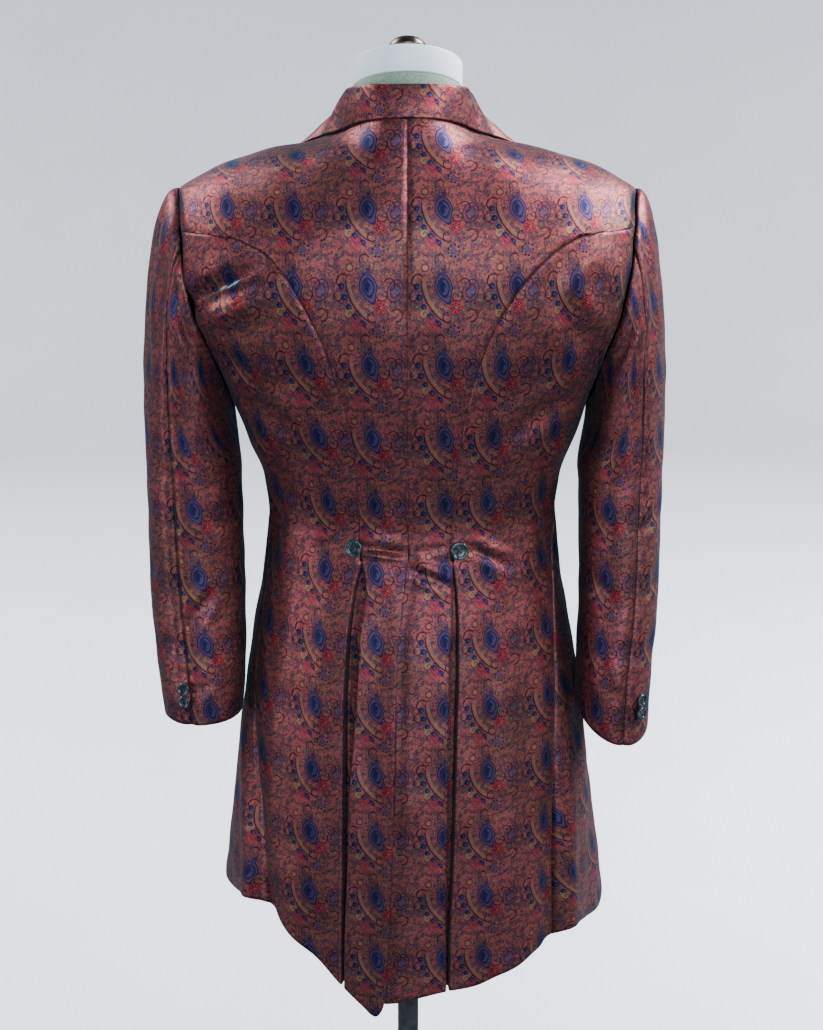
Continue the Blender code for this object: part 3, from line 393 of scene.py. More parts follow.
@dataclass(frozen=True)
class Crease:
    """A soft trough in the cloth along a line between two places, or a ridge.

    The places are (angle, height) on the body and (turn, along) on a sleeve. A positive depth
    is a trough between two low ridges, and a negative one is a ridge.
    """

    start: tuple[float, float]
    end: tuple[float, float]
    depth: float
    half_width: float
    bow: float = 0.0
    ridge: float = 0.35

    def offset(self, points: np.ndarray, surface: Surface, steps: int = 12) -> np.ndarray:
        """How far out each point of the cloth moves.

        Args:
            points: The cloth's points.
            surface: The function that places the crease's line.
            steps: How many places the line has.

        Returns:
            A distance for each point, negative where the cloth sinks.
        """
        share = np.linspace(0.0, 1.0, steps)
        bend = self.bow * np.sin(np.pi * share)
        line = surface(blend(self.start[0], self.end[0], share) + bend,
                       blend(self.start[1], self.end[1], share))
        reach = 4 * self.half_width
        near = np.all((points > line.min(0) - reach) & (points < line.max(0) + reach), -1)
        moved = np.zeros(points.shape[:-1])
        if not near.any():
            return moved
        close = points[near]
        best, place = np.full(len(close), 1e9), np.zeros(len(close))
        for i, (a, b) in enumerate(zip(line, line[1:])):
            run = b - a
            t = np.clip(((close - a) @ run) / max(run @ run, 1e-12), 0.0, 1.0)
            distance = np.linalg.norm(close - (a + t[:, None] * run), axis=-1)
            place = np.where(distance < best, (i + t) / (steps - 1), place)
            best = np.minimum(distance, best)
        across = best / self.half_width
        taper = np.sin(np.pi * np.clip(blend(0.03, 0.97, place), 0.0, 1.0)) ** 0.7
        profile = bell(across) - self.ridge * bell((across - 1.9) / 0.8)
        moved[near] = -self.depth * taper * profile
        return moved


PUCKER_KNOTS = np.arange(0.5, 1.6, 0.011)
PUCKERS = Curve(PUCKER_KNOTS, np.random.default_rng(7).uniform(-1.0, 1.0, len(PUCKER_KNOTS)))


class Panel:
    """A grid of cloth, from its rows of points and outward directions to a finished piece."""

    def __init__(self, name: str, points: np.ndarray, normals: np.ndarray, weave: np.ndarray,
                 wall: float = WALL) -> None:
        """Lay the cloth out.

        Args:
            name: The piece's name.
            points: Rows of points on the cloth's outer side.
            normals: The outward direction at each point.
            weave: The place of each point on the cloth before it was sewn.
            wall: How thick the cloth is.
        """
        self.name = name
        self.points = points
        self.normals = normals
        self.weave = weave
        self.wall = wall
        self.present = np.ones((len(points) - 1, points.shape[1] - 1), bool)

    def crease(self, creases: Sequence[Crease], surface: Surface) -> None:
        """Press creases into the cloth."""
        shift = sum(crease.offset(self.points, surface) for crease in creases)
        self.points = self.points + self.normals * np.asarray(shift)[..., None]

    def open_seams(self, columns: Sequence[int] = (0, -1)) -> None:
        """Draw edge columns in, square to their seams, by half the seam's gap.

        Args:
            columns: The columns that are seams.
        """
        for column in columns:
            beside = 1 if column == 0 else -2
            edge = self.points[:, column]
            square = unit(np.cross(np.gradient(edge, axis=0), self.normals[:, column]))
            inward = ((self.points[:, beside] - edge) * square).sum(-1, keepdims=True)
            self.points[:, column] = edge + square * np.sign(inward) * SEAM_GAP / 2

    def pucker(self, column: int, rows: slice = slice(None), depth: float = 0.0006,
               reach: float = 0.0036, ripple: float = 0.00030) -> None:
        """Sink the cloth along a seam, with small uneven puckers beside it.

        Args:
            column: The column that the seam runs down.
            rows: The rows that the seam runs through.
            depth: How far the cloth sinks at the seam.
            reach: How wide the sunk strip is.
            ripple: How high the puckers stand.
        """
        across = lengths(self.points, 1)
        distance = np.abs(across - across[:, column][:, None])[rows]
        uneven = PUCKERS(self.points[rows, column, 2])
        shift = ripple * uneven[:, None] * bell(distance / (2.4 * reach))
        shift -= depth * bell(distance / reach)
        self.points[rows] += self.normals[rows] * shift[..., None]

    def waver(self, height: float, spacing: float) -> None:
        """Give the cloth a slow, low unevenness, the same on both sides of every seam.

        Args:
            height: How far it moves the cloth.
            spacing: How long its waves are.
        """
        random = np.random.default_rng(4)
        shift = np.zeros(self.points.shape[:2])
        for _ in range(9):
            way = unit(random.normal(size=3) * (1.0, 1.0, 0.6))
            wave = 2 * np.pi / (spacing * random.uniform(0.7, 1.6))
            shift += np.sin(wave * (self.points @ way) + random.uniform(0, 2 * np.pi))
        self.points = self.points + self.normals * (height * shift / 3.0)[..., None]

    def widen(self, points: np.ndarray, normals: np.ndarray, before: bool, direction: int,
              rows: int) -> None:
        """Carry the first rows on past an edge column, as a pleat or an underlap.

        Args:
            points: Rows of the new points, from the edge outwards.
            normals: Their outward directions.
            before: Whether they go before the first column.
            direction: 1 where the weave runs on to the right there, and -1 to the left.
            rows: How many rows have the new points.
        """
        edge = 0 if before else -1
        count = points.shape[1]
        run = lengths(np.concatenate([self.points[:rows, edge][:, None], points], 1), 1)[:, 1:]
        weave = pairs(self.weave[:rows, edge, 0][:, None] + direction * run,
                      self.weave[:rows, edge, 1][:, None])
        parts = []
        for grid, new in ((self.points, points), (self.normals, normals), (self.weave, weave)):
            rest = np.repeat(grid[rows:, edge][:, None], count, 1)
            extra = np.concatenate([new, rest])
            parts.append(np.concatenate([extra[:, ::-1], grid] if before else [grid, extra], 1))
        self.points, self.normals, self.weave = parts
        cells = np.zeros((len(self.present), count), bool)
        cells[: rows - 1] = True
        self.present = np.concatenate([cells, self.present] if before else [self.present, cells], 1)

    def build(self) -> bpy.types.Object:
        """Make the shell, whose outer side has these points and whose UV map is the weave.

        Returns:
            The piece, with its wall as a modifier.
        """
        count = self.points.shape[0] * self.points.shape[1]
        number = np.arange(count).reshape(self.points.shape[:2])
        corners = [number[:-1, :-1], number[:-1, 1:], number[1:, 1:], number[1:, :-1]]
        cells = np.stack(corners, -1)[self.present]
        flat, outward = self.points.reshape(-1, 3), self.normals.reshape(-1, 3)
        a, b, _, d = flat[cells].transpose(1, 0, 2)
        if (np.cross(b - a, d - a) * outward[cells[:, 0]]).sum() < 0:
            cells = cells[:, ::-1]
        used = np.unique(cells)
        renumber = np.zeros(count, int)
        renumber[used] = np.arange(len(used))
        mesh = bpy.data.meshes.new(self.name)
        mesh.from_pydata(flat[used].tolist(), [], renumber[cells].tolist())
        layer = mesh.uv_layers.new(name="weave")
        layer.data.foreach_set("uv", self.weave.reshape(-1, 2)[cells.ravel()].ravel())
        mesh.shade_smooth()
        piece = add_object(self.name, mesh)
        wall = piece.modifiers.new("Wall", "SOLIDIFY")
        wall.thickness = self.wall
        wall.offset = -1.0
        return piece

    def sizes(self) -> tuple[float, float, float]:
        """The width, length and area of the flat cut.

        Returns:
            The three, in metres and square metres.
        """
        a, b = self.points[:-1, :-1], self.points[:-1, 1:]
        c, d = self.points[1:, 1:], self.points[1:, :-1]
        cells = np.linalg.norm(np.cross(b - a, c - a), axis=-1)
        cells += np.linalg.norm(np.cross(c - a, d - a), axis=-1)
        present = np.argwhere(self.present)
        shown = self.weave[present[:, 0], present[:, 1]]
        width, length = (float(extent) for extent in np.ptp(shown, axis=0))
        area = float(cells[self.present].sum() / 2)
        return width, length, min(max(area, 0.31 * width * length), width * length)


def add_object(name: str, mesh: bpy.types.Mesh) -> bpy.types.Object:
    """A new object in the scene's own collection.

    Args:
        name: The object's name.
        mesh: Its mesh.

    Returns:
        The object.
    """
    piece = bpy.data.objects.new(name, mesh)
    bpy.context.scene.collection.objects.link(piece)
    return piece


def register(piece: bpy.types.Object, slot: str, *nodes: str) -> bpy.types.Object:
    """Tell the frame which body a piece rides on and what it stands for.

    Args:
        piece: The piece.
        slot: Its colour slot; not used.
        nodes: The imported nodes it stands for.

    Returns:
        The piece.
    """
    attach(piece, "root")
    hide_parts(*nodes)
    logging.info("%s stands for %s", piece.name, ", ".join(nodes))
    return piece


# ---------------------------------------------------------------------------- Materials


class Val:
    """A number or colour in a material, with the arithmetic of numbers."""

    def __init__(self, graph: "Graph", socket: bpy.types.NodeSocket) -> None:
        """Hold a socket of that graph."""
        self.graph = graph
        self.socket = socket

    def __add__(self, other: Any) -> "Val":
        """The sum."""
        return self.graph.math("ADD", self, other)

    __radd__ = __add__

    def __sub__(self, other: Any) -> "Val":
        """The difference."""
        return self.graph.math("SUBTRACT", self, other)

    def __rsub__(self, other: Any) -> "Val":
        """The difference, from the other."""
        return self.graph.math("SUBTRACT", other, self)

    def __mul__(self, other: Any) -> "Val":
        """The product."""
        return self.graph.math("MULTIPLY", self, other)

    __rmul__ = __mul__

    def __truediv__(self, other: Any) -> "Val":
        """The ratio."""
        return self.graph.math("DIVIDE", self, other)

    def __rtruediv__(self, other: Any) -> "Val":
        """The ratio, of the other to this."""
        return self.graph.math("DIVIDE", other, self)

    def __pow__(self, other: Any) -> "Val":
        """The power."""
        return self.graph.math("POWER", self, other)

    def __neg__(self) -> "Val":
        """The opposite."""
        return self * -1.0

    def __abs__(self) -> "Val":
        """The size without its sign."""
        return self.graph.math("ABSOLUTE", self)

    def least(self, other: Any) -> "Val":
        """The smaller one."""
        return self.graph.math("MINIMUM", self, other)

    def most(self, other: Any) -> "Val":
        """The larger one."""
        return self.graph.math("MAXIMUM", self, other)

    def clipped(self) -> "Val":
        """The number kept between 0 and 1."""
        return self.graph.math("ADD", self, 0.0, clamp=True)

    def wrapped(self, half: float) -> "Val":
        """The number brought into -half to half by whole steps."""
        return self.graph.math("WRAP", self, half, -half)

    def sine(self) -> "Val":
        """The sine."""
        return self.graph.math("SINE", self)

    def cosine(self) -> "Val":
        """The cosine."""
        return self.graph.math("COSINE", self)

    def cover(self, soft: float = 0.5) -> "Val":
        """1 where this distance is negative and 0 beyond it, over a soft edge."""
        return self.graph.math("MULTIPLY_ADD", self, -1.0 / soft, 0.5, clamp=True)

    def ramp(self, start: float, end: float) -> "Val":
        """A climb from 0 at start to 1 at end."""
        scale = 1.0 / (end - start)
        return self.graph.math("MULTIPLY_ADD", self, scale, -start * scale, clamp=True)


class Graph:
    """A material's nodes, added by what they compute."""

    def __init__(self, name: str) -> None:
        """Start a new material of that name with an empty graph.

        Args:
            name: The material's name.
        """
        self.material = bpy.data.materials.new(name)
        self.material.use_nodes = True
        self.tree = self.material.node_tree
        self.tree.nodes.clear()

    def node(self, kind: str, settings: Optional[dict] = None,
             values: Optional[dict] = None) -> bpy.types.Node:
        """Add a node.

        Args:
            kind: The node's type.
            settings: Its properties, set first. The key stops fills a colour ramp.
            values: A value or a Val for each input, by its name or number.

        Returns:
            The node.
        """
        node = self.tree.nodes.new(kind)
        for key, value in (settings or {}).items():
            if key != "stops":
                setattr(node, key, value)
                continue
            elements = node.color_ramp.elements
            while len(elements) < len(value):
                elements.new(1.0)
            for element, (place, colour) in zip(elements, value):
                element.position = place
                element.color = (*colour, 1.0)
        for key, value in (values or {}).items():
            socket = node.inputs[key]
            if isinstance(value, Val):
                self.tree.links.new(value.socket, socket)
            elif socket.type == "RGBA":
                socket.default_value = (*value, 1.0)
            else:
                socket.default_value = value
        return node

    def math(self, operation: str, *numbers: Any, clamp: bool = False) -> Val:
        """A number worked out from others.

        Args:
            operation: The node's operation.
            numbers: Values or Vals.
            clamp: Whether to keep it between 0 and 1.

        Returns:
            The result.
        """
        node = self.node("ShaderNodeMath", {"operation": operation, "use_clamp": clamp},
                         dict(enumerate(numbers)))
        return Val(self, node.outputs[0])

    def mix(self, share: Any, first: Any, second: Any, kind: str = "MIX") -> Val:
        """A colour that share of the way from the first to the second.

        Args:
            share: From 0, all first, to 1, all second.
            first: A colour.
            second: A colour.
            kind: How they blend.

        Returns:
            The colour.
        """
        node = self.node("ShaderNodeMix", {"data_type": "RGBA", "blend_type": kind},
                         {0: share, 6: first, 7: second})
        return Val(self, node.outputs[2])

    def vector(self, x: Any, y: Any, z: Any = 0.0) -> Val:
        """A vector from three numbers."""
        return Val(self, self.node("ShaderNodeCombineXYZ", None, {0: x, 1: y, 2: z}).outputs[0])

    def split(self, vector: Val) -> tuple[Val, Val, Val]:
        """The three numbers of a vector."""
        outputs = self.node("ShaderNodeSeparateXYZ", None, {0: vector}).outputs
        return Val(self, outputs[0]), Val(self, outputs[1]), Val(self, outputs[2])

    def ramp(self, share: Val, *stops: tuple[float, Colour]) -> Val:
        """A colour from a ramp."""
        return Val(self, self.node("ShaderNodeValToRGB", {"stops": stops}, {0: share}).outputs[0])

    def noise(self, place: Val, scale: float, detail: float = 2.0, roughness: float = 0.5,
              fourth: Any = None, distortion: float = 0.0) -> Val:
        """A soft random number from 0 to 1 that changes with the place.

        Args:
            place: Where.
            scale: Its fineness.
            detail: Its finer layers.
            roughness: Their strength.
            fourth: A fourth coordinate.
            distortion: How far it is bent.

        Returns:
            The number.
        """
        values = {"Vector": place, "Scale": scale, "Detail": detail, "Roughness": roughness,
                  "Distortion": distortion}
        if fourth is not None:
            values["W"] = fourth
        settings = {"noise_dimensions": "3D" if fourth is None else "4D"}
        return Val(self, self.node("ShaderNodeTexNoise", settings, values).outputs[0])

    def place(self) -> Val:
        """The place on the object, in metres."""
        return Val(self, self.node("ShaderNodeTexCoord").outputs["Object"])

    def bump(self, height: Val, distance: float, strength: float = 1.0) -> Val:
        """A normal from a height between 0 and 1 and its full distance in metres.

        Args:
            height: The height.
            distance: What a height of 1 measures.
            strength: Its share.

        Returns:
            The normal.
        """
        node = self.node("ShaderNodeBump", None,
                         {"Height": height, "Distance": distance, "Strength": strength})
        return Val(self, node.outputs[0])

    def finish(self, **values: Any) -> bpy.types.Material:
        """Close the graph with a Principled shader.

        Args:
            values: A value or a Val for each input, its spaces written as underscores.

        Returns:
            The material.
        """
        named = {key.replace("_", " "): value for key, value in values.items()}
        shader = self.node("ShaderNodeBsdfPrincipled", None, named)
        output = self.node("ShaderNodeOutputMaterial")
        self.tree.links.new(shader.outputs[0], output.inputs[0])
        return self.material


class Figures:
    """One repeat of the woven pattern, in millimetres from the middle of its main figure."""

    HALF = REPEAT * 500

    def __init__(self, graph: Graph, across: Val, up: Val) -> None:
        """Hold the places on the cloth, in millimetres.

        Args:
            graph: The material's graph.
            across: Millimetres across the cloth.
            up: Millimetres up the cloth.
        """
        self.graph = graph
        self.across = across.wrapped(self.HALF)
        self.up = up.wrapped(self.HALF)

    def local(self, x: float, y: float, turn: float = 0.0) -> tuple[Val, Val]:
        """The place from a point of the repeat, turned by degrees.

        Args:
            x: The point's place across.
            y: Its place up.
            turn: Degrees.

        Returns:
            Millimetres across and up from there.
        """
        dx, dy = (self.across - x).wrapped(self.HALF), (self.up - y).wrapped(self.HALF)
        if not turn:
            return dx, dy
        cosine, sine = math.cos(math.radians(turn)), math.sin(math.radians(turn))
        return dx * cosine + dy * sine, dy * cosine - dx * sine

    def size(self, x: Val, y: Val) -> Val:
        """The length of a flat vector."""
        return (x * x + y * y) ** 0.5

    def disc(self, x: float, y: float, radius: float, soft: float = 0.6) -> Val:
        """A round spot."""
        return (self.size(*self.local(x, y)) - radius).cover(soft)

    def curl(self, x: float, y: float, radius: float, turn: float, reach: float,
             half: float = 0.6) -> Val:
        """A part of a ring, round the direction turn, reach degrees each way.

        Args:
            x: The ring's place across.
            y: Its place up.
            radius: Its radius.
            turn: The direction in degrees.
            reach: Degrees each way.
            half: Half its thickness.

        Returns:
            1 on the curl and 0 off it.
        """
        dx, dy = self.local(x, y, turn)
        size = self.size(dx, dy)
        thin = (abs(size - radius) - half).cover(0.6)
        return thin * (dx - size * math.cos(math.radians(reach))).ramp(-0.4, 1.2)

    def oval(self, x: float, y: float, wide: float, tall: float, turn: float) -> Val:
        """How far out in an oval a place is: 1 on its edge."""
        dx, dy = self.local(x, y, turn)
        return self.size(dx / wide, dy / tall)


@dataclass(frozen=True)
class ShotSilk:
    """Shot silk with a woven paisley: coral where it faces a light, slate where it turns away."""

    ground: Colour = (0.340, 0.096, 0.104)
    mauve: Colour = (0.115, 0.066, 0.090)
    olive: Colour = (0.125, 0.080, 0.052)
    navy: Colour = (0.030, 0.024, 0.072)
    violet: Colour = (0.098, 0.060, 0.130)
    pale: Colour = (0.058, 0.080, 0.180)
    gold: Colour = (0.270, 0.210, 0.100)
    coral: Colour = (0.330, 0.135, 0.110)
    green: Colour = (0.170, 0.220, 0.080)
    wine: Colour = (0.050, 0.014, 0.026)
    scarlet: Colour = (0.420, 0.048, 0.070)
    across: float = 0.0362
    up: float = 0.0

    def material(self) -> bpy.types.Material:
        """The material.

        Returns:
            The woven silk.
        """
        graph = Graph("shot_silk")
        place = Val(graph, graph.node("ShaderNodeUVMap", {"uv_map": "weave"}).outputs[0])
        u, v, _ = graph.split(place)
        cell = Figures(graph, (u - self.across) * 1000.0, (v - self.up) * 1000.0)
        turn = 2 * math.pi / (2 * cell.HALF)
        a, b = cell.across * turn, cell.up * turn
        torus, fourth = graph.vector(a.cosine(), a.sine(), b.cosine()), b.sine()
        slow = graph.noise(torus, 1.7, 1.0, 0.5, fourth, 0.8)
        lines = graph.noise(torus, 1.9, 0.0, 0.4, fourth, 1.5)
        flecks = graph.noise(torus, 5.2, 1.0, 0.5, fourth)
        cloud = graph.noise(place, 7.0, 2.0)
        thread = graph.noise(graph.vector(u * 1500.0, v * 620.0), 1.0, 1.0)

        colour = graph.mix(cloud.ramp(0.45, 0.70) * 0.45, self.ground, self.olive)
        colour = graph.mix(slow.ramp(0.50, 0.53) * 0.75, colour, self.mauve)
        colour = graph.mix((abs(slow - 0.515) * 60.0 - 0.4).cover(0.5) * 0.8, colour, self.wine)
        colour = graph.mix((abs(slow - 0.45) * 60.0 - 0.3).cover(0.5) * 0.6, colour, self.gold)
        colour = graph.mix(flecks.ramp(0.62, 0.65) * 0.6, colour, self.gold)
        colour = graph.mix(flecks.ramp(0.67, 0.69) * 0.6, colour, self.green)
        colour = graph.mix(flecks.ramp(0.38, 0.36) * 0.6, colour, self.wine)
        contour = (abs((lines * 13.0).wrapped(0.5)) * 4.0 - 0.28).cover(0.5)
        colour = graph.mix(contour * 0.75, colour, self.wine)
        relief = contour * 0.5

        # A faint second figure between the main ones
        second = cell.oval(27.0, -3.0, 7.5, 10.5, -18.0)
        colour = graph.mix((second - 1.0).cover(0.14) * 0.35, colour, self.violet)
        colour = graph.mix((abs(second - 0.62) - 0.09).cover(0.1) * 0.6, colour, self.wine)
        colour = graph.mix((abs(second - 1.02) - 0.06).cover(0.1) * 0.7, colour, self.wine)
        colour = graph.mix((second - 0.28).cover(0.12) * 0.7, colour, self.pale)

        # The branch: a band, its edge and the row of berries beside it
        middle = math.radians(212.0)
        centre = (24.0, 9.0)
        dx, dy = cell.local(centre[0] + 46.0 * math.cos(middle), centre[1] + 46.0 * math.sin(middle), 212.0)
        dx = dx + 46.0
        size = cell.size(dx, dy)
        bow = graph.math("ARCTANGENT", dy / dx)
        ends = (abs(bow) * -1.0 + math.radians(34.0)).ramp(0.0, 0.16)
        band = (abs(size - 44.4) - ends * 1.5).cover(0.9) * ends
        colour = graph.mix(band * 0.6, colour, self.coral)
        colour = graph.mix((abs(size - 42.6) - 0.40).cover(0.7) * ends * 0.7, colour, self.gold)
        edge = (abs(size - 46.6) - 0.55).cover(0.7) * ends
        colour = graph.mix(edge, colour, self.wine)
        step = math.radians(11.6)
        berry_place = bow.wrapped(step / 2) * 51.5
        berry = cell.size(berry_place / 1.12, size - 51.5)
        row = (abs(bow) - 2.5 * step).cover(0.02)
        colour = graph.mix((berry - 2.9).cover(0.8) * row * 0.95, colour, self.navy)
        shine = cell.size(berry_place / 1.12 - 0.6, size - 50.9)
        colour = graph.mix((shine - 1.1).cover(1.0) * row, colour, self.pale)
        relief = relief.most(band).most((berry - 2.9).cover(0.7) * row)

        # Stems and curls
        stems = cell.curl(13.5, -7.0, 5.4, -60.0, 110.0)
        for x, y, radius, facing, reach in (
                (21.0, 3.0, 5.6, 40.0, 120.0), (-25.5, 6.0, 6.2, 150.0, 115.0),
                (4.0, -27.5, 4.6, 200.0, 130.0), (28.0, -26.0, 6.0, 20.0, 120.0),
                (-30.0, -8.0, 4.4, 250.0, 120.0), (-4.0, 26.0, 4.8, 120.0, 110.0)):
            stems = stems.most(cell.curl(x, y, radius, facing, reach))
        colour = graph.mix(stems * 0.9, colour, self.wine)

        # The fan flower
        dx, dy = cell.local(12.0, -18.5)
        size, facing = cell.size(dx, dy), graph.math("ARCTAN2", dy, dx)
        petals = size - ((facing * 6.0).cosine() * 1.3 + 6.3)
        colour = graph.mix(petals.cover(0.9) * 0.7, colour, self.scarlet)
        colour = graph.mix((abs(petals + 0.5) - 0.4).cover(0.6) * 0.7, colour, self.wine)
        colour = graph.mix((size - 2.1).cover(0.8) * 0.8, colour, self.wine)
        colour = graph.mix((cell.size(dx - 0.6, dy) - 1.1).cover(0.7), colour, self.green)
        dots = ((facing * 8.0).cosine() * -1.0 + 0.35).cover(0.4) * (abs(size - 3.9) - 0.6).cover(0.5)
        colour = graph.mix(dots, colour, self.wine)

        # Berries, a ringed dot, brush strokes and a swirl
        dx, dy = cell.local(10.0, 34.0)
        size, facing = cell.size(dx, dy), graph.math("ARCTAN2", dy, dx)
        colour = graph.mix((size - 3.1).cover(0.8) * 0.8, colour, self.violet)
        colour = graph.mix((size - 1.1).cover(0.8) * 0.8, colour, self.pale)
        dots = (facing * 9.0).cosine().ramp(0.1, 0.4) * (abs(size - 5.8) - 0.7).cover(0.5)
        colour = graph.mix(dots, colour, self.wine)
        colour = graph.mix(cell.disc(-18.5, 18.5, 3.9) * 0.8, colour, self.wine)
        colour = graph.mix(cell.disc(-18.5, 18.5, 3.0), colour, self.ground)
        colour = graph.mix(cell.disc(-18.5, 18.5, 1.9) * 0.8, colour, self.green)
        dx, dy = cell.local(-12.0, -34.0, 38.0)
        strokes = (cell.size(dx / 1.0, dy / 1.5) - 5.5).cover(1.0) * (dx * 2.1).sine().ramp(-0.1, 0.4)
        colour = graph.mix(strokes * 0.8, colour, self.scarlet)
        dx, dy = cell.local(-19.0, -25.0)
        size, facing = cell.size(dx, dy), graph.math("ARCTAN2", dy, dx)
        swirl = (facing + size * 1.1).cosine().ramp(0.2, 0.6) * (size - 4.6).cover(0.8)
        colour = graph.mix(swirl * 0.9, colour, self.gold)

        # The main figure: a drop with a tuft on top and a tail bent to the right
        dx, dy = cell.across, cell.up
        above, below = dy.most(0.0), dy.least(0.0)
        bent = dx + above * 0.10 - below * below * 0.022
        width = below * 0.16 - above * 0.09 + 9.5
        drop = (bent / width) ** 2.0 + (above / 14.0) ** 2.0 + (abs(below) / 16.0) ** 1.5
        drop = drop.least(cell.size((dx + 0.2) / 3.2, (dy - 12.5) / 4.2))
        inside = (drop - 1.0).cover(0.12)
        rings = graph.ramp(drop, (0.0, self.navy), (0.10, self.navy), (0.16, self.pale),
                           (0.24, self.pale), (0.30, self.navy), (0.46, self.navy),
                           (0.50, self.mauve), (0.55, self.violet), (0.74, self.violet),
                           (0.80, self.navy))
        colour = graph.mix((abs(drop - 1.36) - 0.05).cover(0.12) * 0.6, colour, self.wine)
        colour = graph.mix(inside * 0.92, colour, rings)
        core = cell.size((bent + 1.4) / 3.0, (dy - 1.0) / 6.4)
        colour = graph.mix((core - 1.0).cover(0.3) * 0.85, colour, self.navy)
        core = cell.size((bent - 1.9) / 1.4, (dy + 2.2) / 3.4)
        colour = graph.mix((core - 1.0).cover(0.7) * 0.9, colour, self.violet)
        relief = relief.most(inside)

        tone = blend_tone(graph, colour, thread)
        height = relief * 0.45 + thread * 0.55
        return graph.finish(
            Base_Color=tone,
            Metallic=0.68,
            Roughness=thread.ramp(0.2, 0.9) * 0.08 + relief * 0.05 + 0.42,
            Specular_Tint=(0.14, 0.23, 0.26),
            Sheen_Weight=0.25,
            Sheen_Roughness=0.40,
            Sheen_Tint=(0.22, 0.38, 0.44),
            Normal=graph.bump(height, 0.00022, 0.5),
        )


def blend_tone(graph: Graph, colour: Val, thread: Val) -> Val:
    """The colour with its threads a little lighter and darker."""
    shade = graph.ramp(thread, (0.30, (0.72, 0.72, 0.72)), (0.70, (1.25, 1.25, 1.25)))
    return graph.mix(1.0, colour, shade, "MULTIPLY")


@dataclass(frozen=True)
class Horn:
    """Dark glossy horn with cloudy streaks, for the buttons."""

    dark: Colour = (0.012, 0.018, 0.024)
    light: Colour = (0.110, 0.150, 0.165)

    def material(self) -> bpy.types.Material:
        """The material.

        Returns:
            The horn.
        """
        graph = Graph("horn_button")
        x, y, z = graph.split(graph.place())
        streaks = graph.noise(graph.vector(x, y * 2.6, z), 230.0, 4.0, 0.6)
        fine = graph.noise(graph.place(), 1400.0, 2.0)
        return graph.finish(
            Base_Color=graph.mix(streaks.ramp(0.42, 0.70), self.dark, self.light),
            Roughness=fine * 0.12 + 0.14,
            Coat_Weight=0.4,
            Coat_Roughness=0.08,
            Normal=graph.bump(fine, 0.00003, 0.5),
        )


@dataclass(frozen=True)
class Thread:
    """Twisted sewing thread."""

    colour: Colour = (0.030, 0.012, 0.020)

    def material(self) -> bpy.types.Material:
        """The material.

        Returns:
            The thread.
        """
        graph = Graph("sewing_thread")
        twist = graph.noise(graph.place(), 2600.0, 2.0)
        return graph.finish(
            Base_Color=graph.mix(twist, self.colour, (0.09, 0.035, 0.05)),
            Roughness=twist * 0.2 + 0.5,
            Normal=graph.bump(twist, 0.00008),
        )


@dataclass(frozen=True)
class KnitCover:
    """The form's own cover: sage-green jersey with fine ribs and a little lint."""

    colour: Colour = (0.230, 0.320, 0.250)
    lint: Colour = (0.430, 0.520, 0.430)

    def material(self) -> bpy.types.Material:
        """The material.

        Returns:
            The cover cloth.
        """
        graph = Graph("knit_cover")
        place = graph.place()
        x, y, z = graph.split(place)
        loops = graph.noise(graph.vector(x * 900.0, y * 900.0, z * 420.0), 1.0, 2.0)
        worn = graph.noise(place, 34.0, 4.0, 0.6)
        tone = graph.mix(loops.ramp(0.35, 0.75), self.colour, self.lint)
        return graph.finish(
            Base_Color=graph.mix(worn.ramp(0.35, 0.70) * 0.35, tone, (0.26, 0.29, 0.21)),
            Roughness=loops * 0.15 + 0.80,
            Sheen_Weight=0.25,
            Sheen_Roughness=0.6,
            Normal=graph.bump(loops, 0.0004, 0.8),
        )


@dataclass(frozen=True)
class PaintedBlock:
    """Satin white paint over wood, a little yellowed and scuffed, for the neck block."""

    colour: Colour = (0.920, 0.930, 0.960)
    scuffed: Colour = (0.760, 0.750, 0.760)

    def material(self) -> bpy.types.Material:
        """The material.

        Returns:
            The paint.
        """
        graph = Graph("painted_block")
        place = graph.place()
        x, y, z = graph.split(place)
        grain = graph.noise(graph.vector(x * 40.0, y * 40.0, z * 400.0), 1.0, 3.0)
        scuffs = graph.noise(place, 90.0, 5.0, 0.7)
        orange = graph.noise(place, 900.0, 2.0)
        return graph.finish(
            Base_Color=graph.mix(scuffs.ramp(0.60, 0.80) * 0.5, self.colour, self.scuffed),
            Roughness=scuffs * 0.18 + 0.34,
            Normal=graph.bump(grain * 0.4 + orange * 0.6, 0.00012, 0.6),
        )


@dataclass(frozen=True)
class WornMetal:
    """Turned metal with fine rings from the lathe, dark in its hollows and worn on its edges."""

    name: str
    colour: Colour
    worn: Colour
    roughness: float = 0.30

    def material(self) -> bpy.types.Material:
        """The material.

        Returns:
            The metal.
        """
        graph = Graph(self.name)
        place = graph.place()
        x, y, z = graph.split(place)
        rings = graph.noise(graph.vector(x * 30.0, y * 30.0, z * 2400.0), 1.0, 2.0)
        stains = graph.noise(place, 60.0, 5.0, 0.65)
        geometry = graph.node("ShaderNodeNewGeometry")
        edges = Val(graph, geometry.outputs["Pointiness"]).ramp(0.50, 0.56)
        tone = graph.mix(stains.ramp(0.35, 0.75), self.colour, self.worn)
        return graph.finish(
            Base_Color=graph.mix(edges * 0.6, tone, self.worn),
            Metallic=1.0,
            Roughness=stains * 0.22 + rings * 0.08 + self.roughness - 0.1,
            Normal=graph.bump(rings * 0.5 + stains * 0.5, 0.00006, 0.5),
        )


